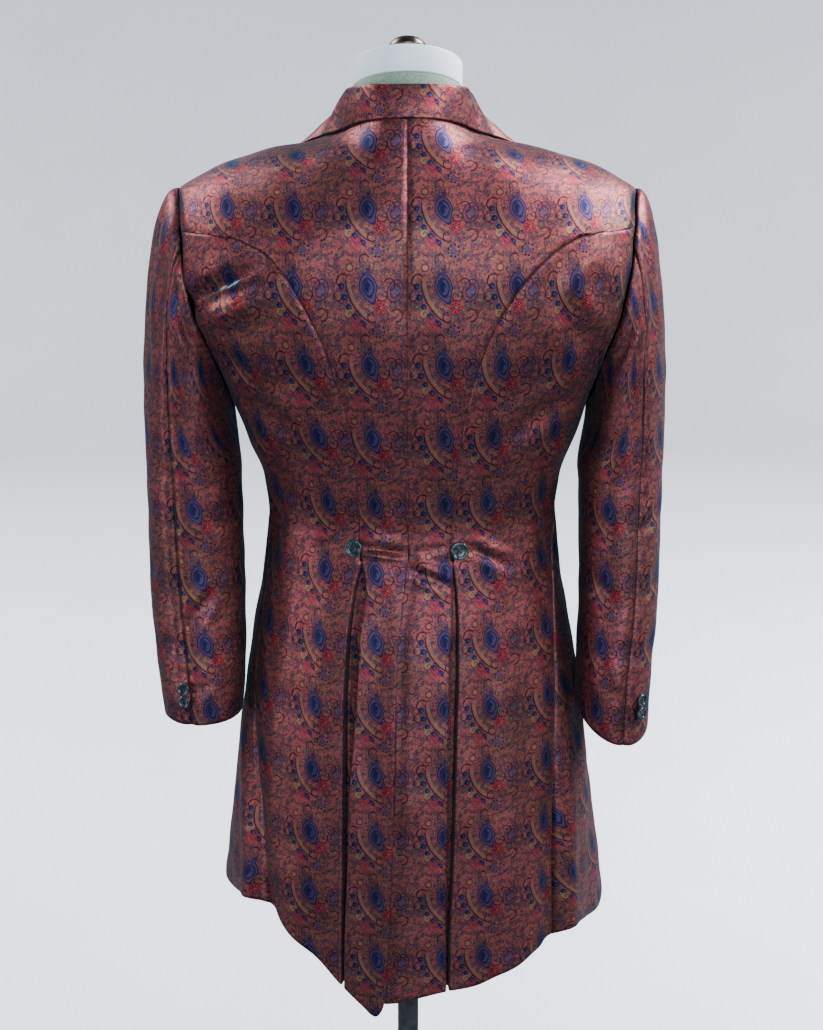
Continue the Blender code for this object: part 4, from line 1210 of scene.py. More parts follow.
@dataclass(frozen=True)
class StudioFloor:
    """Pale seamless studio paper, with the faintest mottling."""

    colour: Colour = (0.640, 0.650, 0.705)

    def material(self) -> bpy.types.Material:
        """The material.

        Returns:
            The paper.
        """
        graph = Graph("studio_paper")
        mottle = graph.noise(graph.place(), 3.0, 3.0)
        return graph.finish(
            Base_Color=graph.mix(mottle.ramp(0.3, 0.7), self.colour, (0.665, 0.675, 0.730)),
            Roughness=mottle * 0.1 + 0.82,
            Normal=graph.bump(mottle, 0.0005, 0.2),
        )


# ---------------------------------------------------------------------------- The coat


BODY_CREASES = (
    # The waist: a tuck that hangs over left of the centre, and a slanting one right of it
    Crease((-26.5, 1.0590), (-3.6, 1.0535), 0.0048, 0.0036, 0.0, 0.6),
    Crease((-24.0, 1.0680), (-6.0, 1.0625), -0.0020, 0.0050),
    Crease((-1.6, 1.0370), (19.5, 1.0165), 0.0044, 0.0044, 0.8, 0.5),
    Crease((0.5, 1.0465), (18.0, 1.0285), -0.0022, 0.0054),
    Crease((3.0, 1.0545), (18.5, 1.0600), 0.0014, 0.0038),
    Crease((29.5, 1.0590), (46.0, 1.0340), 0.0036, 0.0050, 1.0, 0.5),
    Crease((30.0, 1.0690), (48.0, 1.0440), -0.0018, 0.0056),
    Crease((-35.5, 1.0600), (-49.0, 1.0510), 0.0018, 0.0055, -1.0),
    Crease((-52.0, 1.0760), (-74.0, 1.0640), 0.0014, 0.0060),
    Crease((50.0, 1.0800), (74.0, 1.0690), 0.0014, 0.0062),
    Crease((54.0, 1.0330), (76.0, 1.0450), 0.0011, 0.0070),
    # The blades: a drag line from each armhole, and the fullness beside it
    Crease((-74.0, 1.3060), (-46.0, 1.3700), 0.0068, 0.0120, 2.0, 0.5),
    Crease((-66.0, 1.3000), (-42.0, 1.3340), -0.0040, 0.0120),
    Crease((-70.0, 1.2700), (-55.0, 1.2250), 0.0022, 0.0130, 2.0),
    Crease((57.5, 1.3850), (49.0, 1.3180), 0.0040, 0.0110, -4.0, 0.4),
    Crease((50.0, 1.3250), (68.0, 1.2600), 0.0034, 0.0125, -2.0, 0.4),
    Crease((62.0, 1.3800), (66.0, 1.3000), -0.0022, 0.0110, 1.5),
    Crease((41.0, 1.1750), (68.0, 1.2220), 0.0046, 0.0130, -3.0),
    Crease((-45.0, 1.1850), (-67.0, 1.2120), 0.0024, 0.0130, 2.0),
    Crease((30.0, 1.2100), (38.0, 1.3050), -0.0016, 0.0150),
    Crease((-38.0, 1.1600), (-52.0, 1.2400), -0.0020, 0.0160),
    # Beside the centre seam, and across the upper back
    Crease((7.0, 1.1450), (1.6, 1.0640), 0.0012, 0.0080),
    Crease((-9.5, 1.1500), (-5.0, 1.0680), 0.0013, 0.0080),
    Crease((-6.0, 1.3900), (-8.0, 1.2400), 0.0012, 0.0180),
    Crease((8.0, 1.3900), (9.0, 1.2300), 0.0014, 0.0200),
    Crease((-30.0, 1.4150), (-12.0, 1.4420), 0.0012, 0.0120),
    Crease((16.0, 1.4380), (34.0, 1.4100), 0.0010, 0.0140),
    # The flanks
    Crease((58.0, 1.1550), (73.0, 1.0250), 0.0030, 0.0130, 3.0),
    Crease((-60.0, 1.1500), (-74.0, 1.0150), 0.0028, 0.0130, -3.0),
    Crease((76.0, 1.1300), (84.0, 1.0100), -0.0016, 0.0120),
    Crease((-78.0, 1.1300), (-86.0, 1.0000), -0.0016, 0.0120),
    # The skirt, between its hanging folds
    Crease((33.0, 0.9900), (35.0, 0.7000), 0.0018, 0.0120, -2.0),
    Crease((45.0, 1.0000), (43.0, 0.7200), 0.0022, 0.0130, 2.0),
    Crease((-34.0, 1.0000), (-31.0, 0.7200), 0.0016, 0.0120, 1.5),
    Crease((-47.0, 1.0100), (-46.0, 0.7400), 0.0022, 0.0130, -2.0),
    Crease((9.0, 1.0000), (7.0, 0.6600), 0.0010, 0.0120),
    Crease((-15.0, 1.0300), (-16.5, 0.6600), 0.0011, 0.0120),
    # The front: drags from the armholes and the buttons
    Crease((112.0, 1.2900), (138.0, 1.2200), 0.0030, 0.0130, 2.0),
    Crease((-112.0, 1.2850), (-136.0, 1.2150), 0.0028, 0.0130, -2.0),
    Crease((170.0, 1.1020), (142.0, 1.0880), 0.0018, 0.0070),
    Crease((-168.0, 1.1000), (-140.0, 1.0900), 0.0018, 0.0070),
    Crease((169.0, 1.0480), (145.0, 1.0550), 0.0016, 0.0070),
    Crease((-168.0, 1.0470), (-146.0, 1.0580), 0.0015, 0.0070),
    Crease((118.0, 1.0900), (140.0, 1.0400), 0.0016, 0.0110),
    Crease((-120.0, 1.0950), (-141.0, 1.0350), 0.0017, 0.0110),
    Crease((112.0, 0.9800), (114.0, 0.7000), 0.0024, 0.0150, 3.0),
    Crease((-113.0, 0.9900), (-116.0, 0.7100), 0.0022, 0.0150, -3.0),
    Crease((146.0, 0.9600), (150.0, 0.6900), 0.0020, 0.0150),
    Crease((-147.0, 0.9500), (-152.0, 0.7000), 0.0021, 0.0150),
)


@dataclass(frozen=True)
class Arm:
    """A sleeve's form: a cap from the armhole to its widest ring, then rings to the cuff."""

    side: Side
    # height, across, depth, half width, half depth
    rings: Rows
    crest: float
    cuff: float
    cuff_drop: float
    cuff_lowest: float
    creases: Sequence[Crease]
    cap_end: float = 1.120
    fore_seam: float = 240.0

    def hind_seam(self, along: Number) -> np.ndarray:
        """The turn at which the hind-arm seam runs."""
        return HIND_SEAM(along)

    def ring(self, turn: Number, height: Number) -> np.ndarray:
        """Places below the cap, turn 0 outside, 90 behind and 180 inside.

        Args:
            turn: Degrees round the sleeve.
            height: Metres above the floor.

        Returns:
            Points.
        """
        values = RING_CURVES[self.side](-np.asarray(height, float))
        across, depth, half_width, half_depth = np.moveaxis(values, -1, 0)
        x = across + half_width * np.cos(np.radians(turn))
        y = depth - half_depth * np.sin(np.radians(turn))
        return np.stack(np.broadcast_arrays(self.side.value * x, y, height), -1)

    def cuff_height(self, turn: Number) -> np.ndarray:
        """The height of the cuff's edge."""
        return self.cuff - self.cuff_drop * np.cos(np.radians(turn - self.cuff_lowest))

    def point(self, turn: Number, along: Number) -> np.ndarray:
        """Places on the sleeve: along runs 0 to 1 down the cap and 1 to 2 down to the cuff.

        Args:
            turn: Degrees round the sleeve.
            along: The way down it.

        Returns:
            Points.
        """
        turn, along = np.broadcast_arrays(np.asarray(turn, float), np.asarray(along, float))
        below = self.ring(turn, blend(self.cap_end, self.cuff_height(turn), np.maximum(along - 1, 0)))
        places = armhole(turn)
        sign = self.side.value
        start = BODY.point(sign * places[..., 0], places[..., 1], False)
        start = start + np.array([sign * LAY_GAP, 0.0, 0.0])
        end = self.ring(turn, np.full(turn.shape, self.cap_end))
        upper = (1 + np.cos(np.radians(turn))) / 2
        leave = np.stack([sign * blend(0.003, self.crest, upper), -0.010 * np.sin(np.radians(turn)),
                          blend(-0.020, 0.009, upper ** 1.5)], -1)
        lift = blend(0.020, 0.62 * (places[..., 1] - self.cap_end), upper)
        arrive = np.stack([0 * lift, 0 * lift, lift], -1)
        t = np.minimum(along, 1.0)[..., None]
        cap = (start * (1 - t) ** 3 + (start + leave) * (3 * t * (1 - t) ** 2)
               + (end + arrive) * (3 * t * t * (1 - t)) + end * t ** 3)
        return np.where(along[..., None] > 1.0, below, cap)

    def normal(self, turn: Number, along: Number) -> np.ndarray:
        """The outward directions at places on the sleeve.

        Args:
            turn: Degrees round the sleeve.
            along: The way down it.

        Returns:
            Vectors of length 1.
        """
        low, high = np.maximum(along - 0.01, 0.0), np.minimum(along + 0.01, 2.0)
        across = self.point(turn + 1, along) - self.point(turn - 1, along)
        down = self.point(turn, high) - self.point(turn, low)
        return unit(np.cross(across, down)) * self.side.value

    def along_at(self, height: float, turn: float) -> float:
        """How far along the sleeve a height below its cap is."""
        return float(1.0 + (self.cap_end - height) / (self.cap_end - self.cuff_height(turn)))


def armhole(turn: Number) -> np.ndarray:
    """(angle, height) on the armhole, turn 0 at the shoulder point and 90 at the back."""
    middle, half = (UNDERARM + SHOULDER_POINT) / 2, (SHOULDER_POINT - UNDERARM) / 2
    return pairs(90.0 - 20.0 * np.sin(np.radians(turn)), middle + half * np.cos(np.radians(turn)))


HIND_SEAM = curve(((0.0, 60.0), (1.0, 70.0), (2.0, 78.0)))

ARMS = (
    Arm(Side.LEFT, (
        (1.120, 0.2360, -0.012, 0.0520, 0.066), (1.060, 0.2355, -0.018, 0.0530, 0.061),
        (1.000, 0.2345, -0.026, 0.0530, 0.057), (0.940, 0.2320, -0.038, 0.0510, 0.053),
        (0.895, 0.2300, -0.049, 0.0480, 0.050), (0.850, 0.2300, -0.055, 0.0435, 0.048),
    ), 0.0275, 0.852, 0.002, 90.0, (
        Crease((104.0, 0.22), (70.0, 0.19), 0.0036, 0.0052, 0.0, 0.5),
        Crease((92.0, 0.30), (84.0, 0.85), 0.0020, 0.0090),
        Crease((44.0, 0.04), (50.0, 0.62), 0.0030, 0.0085, 4.0),
        Crease((22.0, 0.10), (30.0, 0.80), 0.0016, 0.0120),
        Crease((-30.0, 0.20), (-10.0, 0.90), 0.0020, 0.0140),
        Crease((118.0, 1.44), (80.0, 1.60), 0.0026, 0.0070, 0.0, 0.5),
        Crease((52.0, 1.30), (20.0, 1.42), 0.0015, 0.0085),
        Crease((60.0, 1.66), (24.0, 1.74), 0.0013, 0.0080),
        Crease((100.0, 1.10), (140.0, 1.22), 0.0020, 0.0100),
        Crease((205.0, 1.30), (250.0, 1.40), 0.0030, 0.0090),
        Crease((195.0, 1.42), (240.0, 1.52), 0.0026, 0.0090),
        Crease((-60.0, 1.34), (-100.0, 1.44), 0.0022, 0.0090),
        Crease((110.0, 1.80), (84.0, 1.88), 0.0014, 0.0070),
    )),
    Arm(Side.RIGHT, (
        (1.120, 0.2340, -0.014, 0.0470, 0.067), (1.060, 0.2350, -0.022, 0.0455, 0.063),
        (1.000, 0.2350, -0.032, 0.0440, 0.059), (0.940, 0.2325, -0.044, 0.0430, 0.056),
        (0.895, 0.2300, -0.053, 0.0418, 0.053), (0.825, 0.2295, -0.058, 0.0405, 0.050),
    ), 0.0215, 0.854, 0.027, 65.0, (
        Crease((112.0, 0.24), (82.0, 0.26), 0.0030, 0.0055, 0.0, 0.5),
        Crease((88.0, 0.30), (82.0, 0.90), 0.0022, 0.0095),
        Crease((40.0, 0.04), (46.0, 0.60), 0.0028, 0.0085, 4.0),
        Crease((52.0, 0.50), (66.0, 0.66), 0.0018, 0.0065),
        Crease((-28.0, 0.20), (-8.0, 0.90), 0.0018, 0.0140),
        Crease((40.0, 1.10), (68.0, 1.20), 0.0024, 0.0065, 0.0, 0.5),
        Crease((36.0, 1.38), (58.0, 1.44), 0.0018, 0.0060),
        Crease((30.0, 1.60), (66.0, 1.68), 0.0016, 0.0070),
        Crease((104.0, 1.46), (140.0, 1.40), 0.0020, 0.0090),
        Crease((205.0, 1.32), (250.0, 1.42), 0.0030, 0.0090),
        Crease((195.0, 1.46), (245.0, 1.55), 0.0024, 0.0090),
        Crease((-60.0, 1.36), (-100.0, 1.46), 0.0022, 0.0090),
        Crease((116.0, 1.74), (86.0, 1.84), 0.0014, 0.0070),
    )),
)
RING_CURVES = {arm.side: curves([(-row[0], *row[1:]) for row in arm.rings]) for arm in ARMS}


class Coat:
    """The whole coat, with a method for each kind of its pieces."""

    CENTRE = curve(((WAIST, -2.0), (1.200, -1.2), (1.300, 0.0), (NECK_BACK, 0.0)))
    VENT = curve(((0.545, -9.4), (0.627, -8.5), (0.789, -7.1), (0.937, -6.7), (0.990, -4.9),
                  (1.036, -2.7), (WAIST, -2.0)))
    OVERLAP = curve(((0.545, 9.5), (0.800, 9.5), (1.000, 9.0), (WAIST, 8.0)))
    SIDE_SEAM = {
        Side.LEFT: curve(((0.600, 52.0), (0.647, 53.5), (0.750, 59.5), (0.850, 68.0),
                          (0.950, 76.0), (1.080, 84.0), (UNDERARM, 90.0))),
        Side.RIGHT: curve(((0.580, 50.8), (0.606, 51.1), (0.787, 56.0), (0.941, 65.0),
                           (1.080, 80.0), (UNDERARM, 90.0))),
    }
    PLEAT_SIDE = {
        Side.LEFT: curve(((0.568, 24.6), (0.623, 25.2), (0.678, 25.6), (0.785, 26.7),
                          (0.907, 28.8), (0.967, 29.1), (1.010, 28.1), (1.045, 26.6),
                          (WAIST, 28.0))),
        Side.RIGHT: curve(((0.569, 12.9), (0.645, 13.8), (0.701, 15.1), (0.809, 17.1),
                           (0.873, 18.6), (0.944, 20.6), (1.005, 21.7), (1.045, 21.5),
                           (WAIST, 20.9))),
    }
    PLEAT_BACK = {
        Side.LEFT: curve(((0.568, 23.8), (0.623, 24.3), (0.698, 24.2), (0.786, 24.2),
                          (0.917, 23.4), (0.968, 23.7), (0.997, 23.0), (1.018, 22.8),
                          (1.045, 25.2), (WAIST, 28.0))),
        Side.RIGHT: curve(((0.566, 12.0), (0.645, 12.2), (0.789, 13.8), (0.928, 16.6),
                           (1.014, 20.0), (1.045, 20.3), (WAIST, 20.9))),
    }
    PLEAT_DEPTH = curve(((0.550, 0.015), (0.800, 0.018), (0.920, 0.015), (1.000, 0.010),
                         (1.045, 0.0065)))
    # height, angle and the height it faces at the centre, up the curved back seam
    PRINCESS = {
        Side.LEFT: even_curves((
            (WAIST, 28.0, WAIST), (1.121, 26.5, 1.115), (1.169, 25.7, 1.160),
            (1.205, 26.7, 1.193), (1.241, 29.0, 1.226), (1.280, 31.4, 1.260),
            (1.323, 36.7, 1.294), (1.357, 43.2, 1.324), (1.378, 51.5, 1.350),
            (1.3875, 61.5, 1.374), (1.3868, 74.95, 1.398))),
        Side.RIGHT: even_curves((
            (WAIST, 20.9, WAIST), (1.101, 21.3, 1.098), (1.140, 21.8, 1.134),
            (1.179, 22.7, 1.170), (1.231, 24.9, 1.216), (1.270, 28.2, 1.248),
            (1.308, 32.9, 1.282), (1.339, 38.8, 1.310), (1.368, 47.5, 1.340),
            (1.390, 62.0, 1.372), (1.3897, 75.7, 1.400))),
    }
    PRINCESS_ROWS = 92
    HEM = {
        Side.LEFT: curve(((8.6, 0.566), (9.6, 0.545), (12.3, 0.535), (17.7, 0.547),
                          (25.9, 0.571), (35.1, 0.602), (43.0, 0.620), (49.4, 0.637),
                          (56.0, 0.6435), (67.4, 0.635), (79.0, 0.622), (100.0, 0.615),
                          (180.0, 0.610))),
        Side.RIGHT: curve(((-19.0, 0.553), (-9.0, 0.549), (0.0, 0.555), (12.2, 0.564),
                           (22.5, 0.568), (30.9, 0.579), (44.7, 0.598), (57.7, 0.610),
                           (66.9, 0.602), (75.6, 0.594), (85.0, 0.590), (100.0, 0.594),
                           (180.0, 0.610))),
    }
    PLEAT_TOP = 0.973
    CLIMBS = np.concatenate([np.linspace(0.0, PLEAT_TOP, 112), np.linspace(PLEAT_TOP, 1.0, 7)[1:-1]])
    PLEAT_ROWS = 112
    # across, depth and height of the fold, then the angle and height of the outer edge and neck
    COLLAR = even_curves((
        (0.0000, -0.0830, 1.5350, 0.0, 1.503, 0.0, 1.5120),
        (0.0260, -0.0780, 1.5345, 16.0, 1.501, 18.0, 1.5110),
        (0.0480, -0.0590, 1.5320, 36.0, 1.496, 40.0, 1.5060),
        (0.0610, -0.0330, 1.5285, 58.0, 1.4875, 64.0, 1.4970),
        (0.0650, -0.0070, 1.5240, 80.0, 1.4795, 86.0, 1.4885),
        (0.0680, 0.0190, 1.5130, 100.0, 1.4755, 104.0, 1.4800),
        (0.0715, 0.0430, 1.4940, 115.0, 1.4470, 120.0, 1.4700),
        (0.0735, 0.0610, 1.4720, 127.0, 1.4200, 131.0, 1.4590),
    ))
    LAPEL = even_curves((
        (1.180, 1.174, 0.012), (1.212, 1.203, 0.040), (1.260, 1.246, 0.070),
        (1.315, 1.295, 0.097), (1.370, 1.345, 0.118), (1.410, 1.381, 0.130),
        (1.430, 1.396, 0.133),
    ))
    NECK_DEPTH = -0.003

    def __init__(self, silk: bpy.types.Material) -> None:
        """Hold the silk that it is cut from."""
        self.silk = silk

    def dress(self, panel: Panel, node: str) -> bpy.types.Object:
        """Build a panel, give it the silk and tell the frame what it is.

        Args:
            panel: The cloth.
            node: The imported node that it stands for.

        Returns:
            The piece.
        """
        piece = panel.build()
        piece.data.materials.append(self.silk)
        register(piece, "silk", node)
        width, length, area = panel.sizes()
        logging.info("%s is cut %.3f by %.3f m", piece.name, width, length)
        return piece

    def skirt(self, side: Side, inner: Callable, outer: Callable, shares: np.ndarray) -> np.ndarray:
        """Rows of (angle, height) from the hem to just under the waist, between two edges.

        Args:
            side: The wearer's side.
            inner: The first edge's angle at a height.
            outer: The last edge's.
            shares: The columns, from 0 to 1.

        Returns:
            The rows.
        """
        low = self.HEM[side](blend(inner(0.60), outer(0.60), shares))
        height = blend(low[None], WAIST, self.CLIMBS[:, None])
        return pairs(blend(inner(height), outer(height), shares[None]), height)

    @staticmethod
    def ruled(inner: np.ndarray, outer: np.ndarray, shares: np.ndarray) -> np.ndarray:
        """Rows of (angle, height) between matching places on two edges."""
        return blend(inner[:, None], outer[:, None], shares[None, :, None])

    @staticmethod
    def refine(inner: np.ndarray, outer: np.ndarray) -> tuple[np.ndarray, np.ndarray]:
        """The two edges again with more places, but without the first, which is there already.

        Args:
            inner: Places on one edge.
            outer: The matching places on the other.

        Returns:
            The places on each.
        """
        longest = max((inner, outer), key=lambda edge: lengths(BODY.point(*edge.T), 0)[-1])
        index = finer_index(BODY.point(*longest.T))[1:]
        return Curve(range(len(inner)), inner)(index), Curve(range(len(outer)), outer)(index)

    def lay(self, name: str, side: Side, places: np.ndarray, weave: Callable,
            lift: Optional[Callable] = None) -> Panel:
        """Lay a panel over the body.

        Args:
            name: The piece's name.
            side: The side of the wearer.
            places: Rows of (angle, height), the angles away from the centre of the back.
            weave: The function from signed angles and points to places on the cloth.
            lift: The function from points to how far out they move.

        Returns:
            The panel, creased.
        """
        angle, height = side.value * places[..., 0], places[..., 1]
        points, normals = BODY.point(angle, height), BODY.normal(angle, height)
        panel = Panel(name, points, normals, weave(angle, points))
        if lift is not None:
            panel.points = points + normals * lift(points)[..., None]
        panel.crease(BODY_CREASES, BODY.point)
        panel.waver(0.0007, 0.055)
        return panel

    def pleat(self, panel: Panel, toward: int, underlay: float) -> None:
        """Add a pleat's columns after the last one.

        Args:
            panel: The panel, whose last column is the pleat's edge.
            toward: 1 where the groove lies towards +X, and -1 where it lies towards -X.
            underlay: How far the pleat runs on under the next panel.
        """
        rows, fold, turn = self.PLEAT_ROWS, 0.0026, 0.0010
        edge, outward = panel.points[:rows, -1], panel.normals[:rows, -1]
        sideways = panel.points[:rows, -1] - panel.points[:rows, -3]
        sideways = unit(sideways - outward * (sideways * outward).sum(-1, keepdims=True))
        near = smooth_step(self.CLIMBS[:rows], 1.02 * self.PLEAT_TOP, 0.93 * self.PLEAT_TOP)
        for back in (2, 1):
            share = 0.35 if back == 2 else 1.0
            panel.points[:rows, -back] -= sideways * (fold * share * near)[:, None]
        edge = panel.points[:rows, -1].copy()
        depth = self.PLEAT_DEPTH(edge[:, 2])
        quarter = np.radians((22.5, 45.0, 67.5, 90.0))
        path = [(fold * math.sin(a) + 0 * depth, fold * (1 - math.cos(a)) + 0 * depth, a)
                for a in quarter]
        last = depth - (turn if underlay else 0.0022)
        for share in (0.25, 0.5, 0.75, 1.0):
            path.append((fold + 0 * depth, blend(fold, last, share), quarter[-1]))
        if underlay:
            path += [(fold + 0.3 * turn, depth - 0.3 * turn, quarter[1])]
            for share in (0.0, 0.2, 0.4, 0.6, 0.8, 1.0):
                path.append((fold + turn + underlay * share + 0 * depth, depth + 0 * depth, 0.0))
        points = [edge + sideways * np.reshape(across, (-1, 1)) - outward * np.reshape(inward, (-1, 1))
                  for across, inward, _ in path]
        normals = [outward * math.cos(angle) + sideways * math.sin(angle) for _, _, angle in path]
        panel.widen(np.stack(points, 1), np.stack(normals, 1), False, toward, rows)

    def back(self, side: Side) -> bpy.types.Object:
        """Back: from the centre seam to the curved seam, armhole and shoulder seam.

        Args:
            side: The wearer's side.

        Returns:
            The piece.
        """
        shares = np.linspace(0.0, 1.0, 27)

        def centre(height: Number) -> np.ndarray:
            """The angle of the centre seam or of the vent's edge."""
            return side.value * np.where(np.asarray(height) < WAIST, self.VENT(height),
                                         self.CENTRE(height))

        places = [self.skirt(side, centre, self.PLEAT_BACK[side], shares)]
        princess = self.PRINCESS[side](np.linspace(0.0, 1.0, self.PRINCESS_ROWS))
        outer = princess[:, 1::-1]
        inner = pairs(centre(princess[:, 2]), princess[:, 2])
        places.append(self.ruled(inner, outer, shares))
        rest = np.concatenate([outer[-1:], armhole(np.array((30.0, 15.0, 0.0)))])
        centres = pairs(0.0, (princess[-1, 2], 1.409, 1.416, 1.422))
        places.append(self.ruled(*self.refine(centres, rest), shares))
        rest = pairs(90.0, (SHOULDER_POINT, *SHOULDER_HEIGHTS))
        centres = pairs(0.0, (1.422, *SHOULDER_CENTRES))
        places.append(self.ruled(*self.refine(centres, rest), shares))

        def underlap(points: np.ndarray) -> np.ndarray:
            """How far the right back sinks under the left one, and that one's edge stands off.

            Args:
                points: The places, in metres.

            Returns:
                Metres outwards.
            """
            height = points[..., 2]
            edge = BODY.point(self.VENT(height), height)[..., 0]
            if side is Side.LEFT:
                near = smooth_step(points[..., 0] - edge, -0.022, 0.0)
                return 0.0034 * near * smooth_step(-height, -1.030, -0.900)
            near = smooth_step(edge - points[..., 0], -0.016, -0.004)
            return -(WALL + LAY_GAP) * near * smooth_step(-height, -WAIST - 0.010, -WAIST + 0.010)

        panel = self.lay(f"back_panel_{side.label}", side, np.concatenate(places), WEAVE.back, underlap)
        panel.open_seams()
        sewn = slice(self.PLEAT_ROWS, None)
        panel.pucker(0, sewn)
        panel.pucker(-1, sewn)
        self.pleat(panel, side.value, 0.0)
        if side is Side.RIGHT:
            self.underlap(panel)
        return self.dress(panel, f"back_{side.label}")

    def underlap(self, panel: Panel) -> None:
        """Carry the right back on under the left one, as the vent's underlap.

        Args:
            panel: The right back.
        """
        rows = self.PLEAT_ROWS
        height = panel.points[:rows, 0, 2][:, None]
        angle = self.VENT(height) - self.OVERLAP(height) * np.linspace(0.1, 1.0, 9)
        low = self.HEM[Side.RIGHT](angle[0])
        height = blend(low[None], WAIST, self.CLIMBS[:rows, None])
        outward = BODY.normal(angle, height)
        points = BODY.point(angle, height) - outward * (WALL + LAY_GAP)
        shift = sum(crease.offset(points, BODY.point) for crease in BODY_CREASES)
        points = points + outward * (shift - 0.0004)[..., None]
        panel.widen(points, outward, True, -1, rows)

    def side_back(self, side: Side) -> bpy.types.Object:
        """Side back: from the side seam to the curved seam, with the pleat's underlay.

        Args:
            side: The wearer's side.

        Returns:
            The piece.
        """
        shares = np.linspace(0.0, 1.0, 37)
        seam = self.SIDE_SEAM[side]
        places = [self.skirt(side, seam, self.PLEAT_SIDE[side], shares)]
        princess = self.PRINCESS[side](np.linspace(0.0, 1.0, self.PRINCESS_ROWS))
        outer = princess[:, 1::-1]
        index = np.linspace(0.0, 13.0, self.PRINCESS_ROWS)
        height = blend(WAIST, UNDERARM, np.minimum(index / 4, 1.0))
        oval = (UNDERARM + SHOULDER_POINT) / 2, (SHOULDER_POINT - UNDERARM) / 2
        last = math.degrees(math.acos((outer[-1, 1] - oval[0]) / oval[1])) + 3.0
        hole = armhole(np.interp(index, (4.0, 12.0, 13.0), (180.0, 60.0, last)))
        inner = np.where((index <= 4)[:, None], pairs(seam(height), height), hole)
        places.append(self.ruled(inner, outer, shares))
        grain = curve(((0.550, self.PLEAT_SIDE[side](0.600)), (0.800, self.PLEAT_SIDE[side](0.800)),
                       (1.000, self.PLEAT_SIDE[side](1.000)), (1.150, outer[20, 0]),
                       (1.400, outer[20, 0] + 2.0)))

        def weave(angle: np.ndarray, points: np.ndarray) -> np.ndarray:
            """Places on the cloth, measured from a line straight up its grain.

            Args:
                angle: Signed degrees from the centre of the back.
                points: The places, in metres.

            Returns:
                Metres across and up the cloth.
            """
            cloth = WEAVE.back(angle, points)
            height = points[..., 2]
            cloth[..., 0] -= side.value * WEAVE.round_from_back(grain(height), height)
            cloth[..., 0] += 0.0 if side is Side.RIGHT else -0.004
            return cloth

        panel = self.lay(f"side_back_panel_{side.label}", side, np.concatenate(places), weave)
        panel.open_seams()
        sewn = slice(self.PLEAT_ROWS, None)
        panel.pucker(0)
        panel.pucker(-1, sewn)
        self.pleat(panel, -side.value, 0.014)
        return self.dress(panel, f"side_back_{side.label}")

    @staticmethod
    def roll_across(height: Number) -> np.ndarray:
        """How far the front edge lies from the centre: past it below the break, short above."""
        return -0.012 + np.maximum(np.asarray(height) - BREAK_POINT, 0.0) * 0.262

    def front(self, side: Side) -> bpy.types.Object:
        """Front: from the side seam, armhole and shoulder seam to the front edge and roll line.

        Args:
            side: The wearer's side.

        Returns:
            The piece.
        """
        shares = np.linspace(0.0, 1.0, 61)
        seam = self.SIDE_SEAM[side]

        def edge(height: Number) -> np.ndarray:
            """The angle of the front edge."""
            return BODY.angle_at(self.roll_across(height), height)

        places = [self.skirt(side, seam, edge, shares)]
        climb = np.linspace(0.0, 1.0, 36)
        inner_height, outer_height = blend(WAIST, UNDERARM, climb), blend(WAIST, 1.180, climb)
        places.append(self.ruled(pairs(seam(inner_height), inner_height),
                                 pairs(edge(outer_height), outer_height), shares))
        climb = np.linspace(0.0, 1.0, 73)[1:]
        outer_height = blend(1.180, 1.400, climb)
        places.append(self.ruled(armhole(blend(-180.0, 0.0, climb)),
                                 pairs(edge(outer_height), outer_height), shares))
        stations = self.COLLAR(np.linspace(0.0, 1.0, 8))
        neck = Curve(stations[:, 5], stations[:, 6])
        outer = [(float(edge(1.400)), 1.400)]
        for i in range(1, 7):
            angle = blend(outer[0][0], 90.0, i / 6)
            outer.append((angle, float(neck(angle)) if angle < 131.0 else blend(1.400, 1.459, i / 2)))
        inner = pairs(90.0, (SHOULDER_POINT, *SHOULDER_HEIGHTS))
        places.append(self.ruled(*self.refine(inner, np.array(outer)), shares))

        def tuck(points: np.ndarray) -> np.ndarray:
            """How far the right front sinks to pass under the left one.

            Args:
                points: The places, in metres.

            Returns:
                Metres outwards.
            """
            if side is Side.LEFT:
                return np.zeros(points.shape[:-1])
            near = smooth_step(-points[..., 0], -0.042, -0.026) * (points[..., 1] > 0)
            return -(WALL + LAY_GAP) * near * smooth_step(-points[..., 2], -1.215, -1.180)

        def weave(angle: np.ndarray, points: np.ndarray) -> np.ndarray:
            """Places on the cloth, measured from the centre of the front."""
            return WEAVE.front(side, angle, points)

        panel = self.lay(f"front_panel_{side.label}", side, np.concatenate(places), weave, tuck)
        panel.open_seams()
        panel.pucker(0)
        return self.dress(panel, f"front_{side.label}")

    def lapel(self, side: Side) -> bpy.types.Object:
        """Lapel: turned back along the roll line, lying on the front.

        Args:
            side: The wearer's side.

        Returns:
            The piece.
        """
        roll, edge_height, edge_across = self.LAPEL(np.linspace(0.0, 1.0, 66)).T
        start = pairs(BODY.angle_at(self.roll_across(roll) + 0.0015, roll), roll)
        end = pairs(BODY.angle_at(edge_across, edge_height), edge_height)
        shares = np.linspace(0.0, 1.0, 25)
        places = self.ruled(start, end, shares)
        angle, height = side.value * places[..., 0], places[..., 1]
        outward = BODY.normal(angle, height)
        points = BODY.point(angle, height)
        bulge = 0.0030 * np.sin(np.pi * np.minimum(shares * 1.6, 1.0)) ** 2
        panel = Panel(f"lapel_leaf_{side.label}", points + outward * (0.0010 + WALL), outward,
                      WEAVE.front(side, angle, points) * (-1.0, 1.0))
        panel.crease(BODY_CREASES, BODY.point)
        panel.points = panel.points + outward * bulge[None, :, None]
        return self.dress(panel, f"lapel_{side.label}")

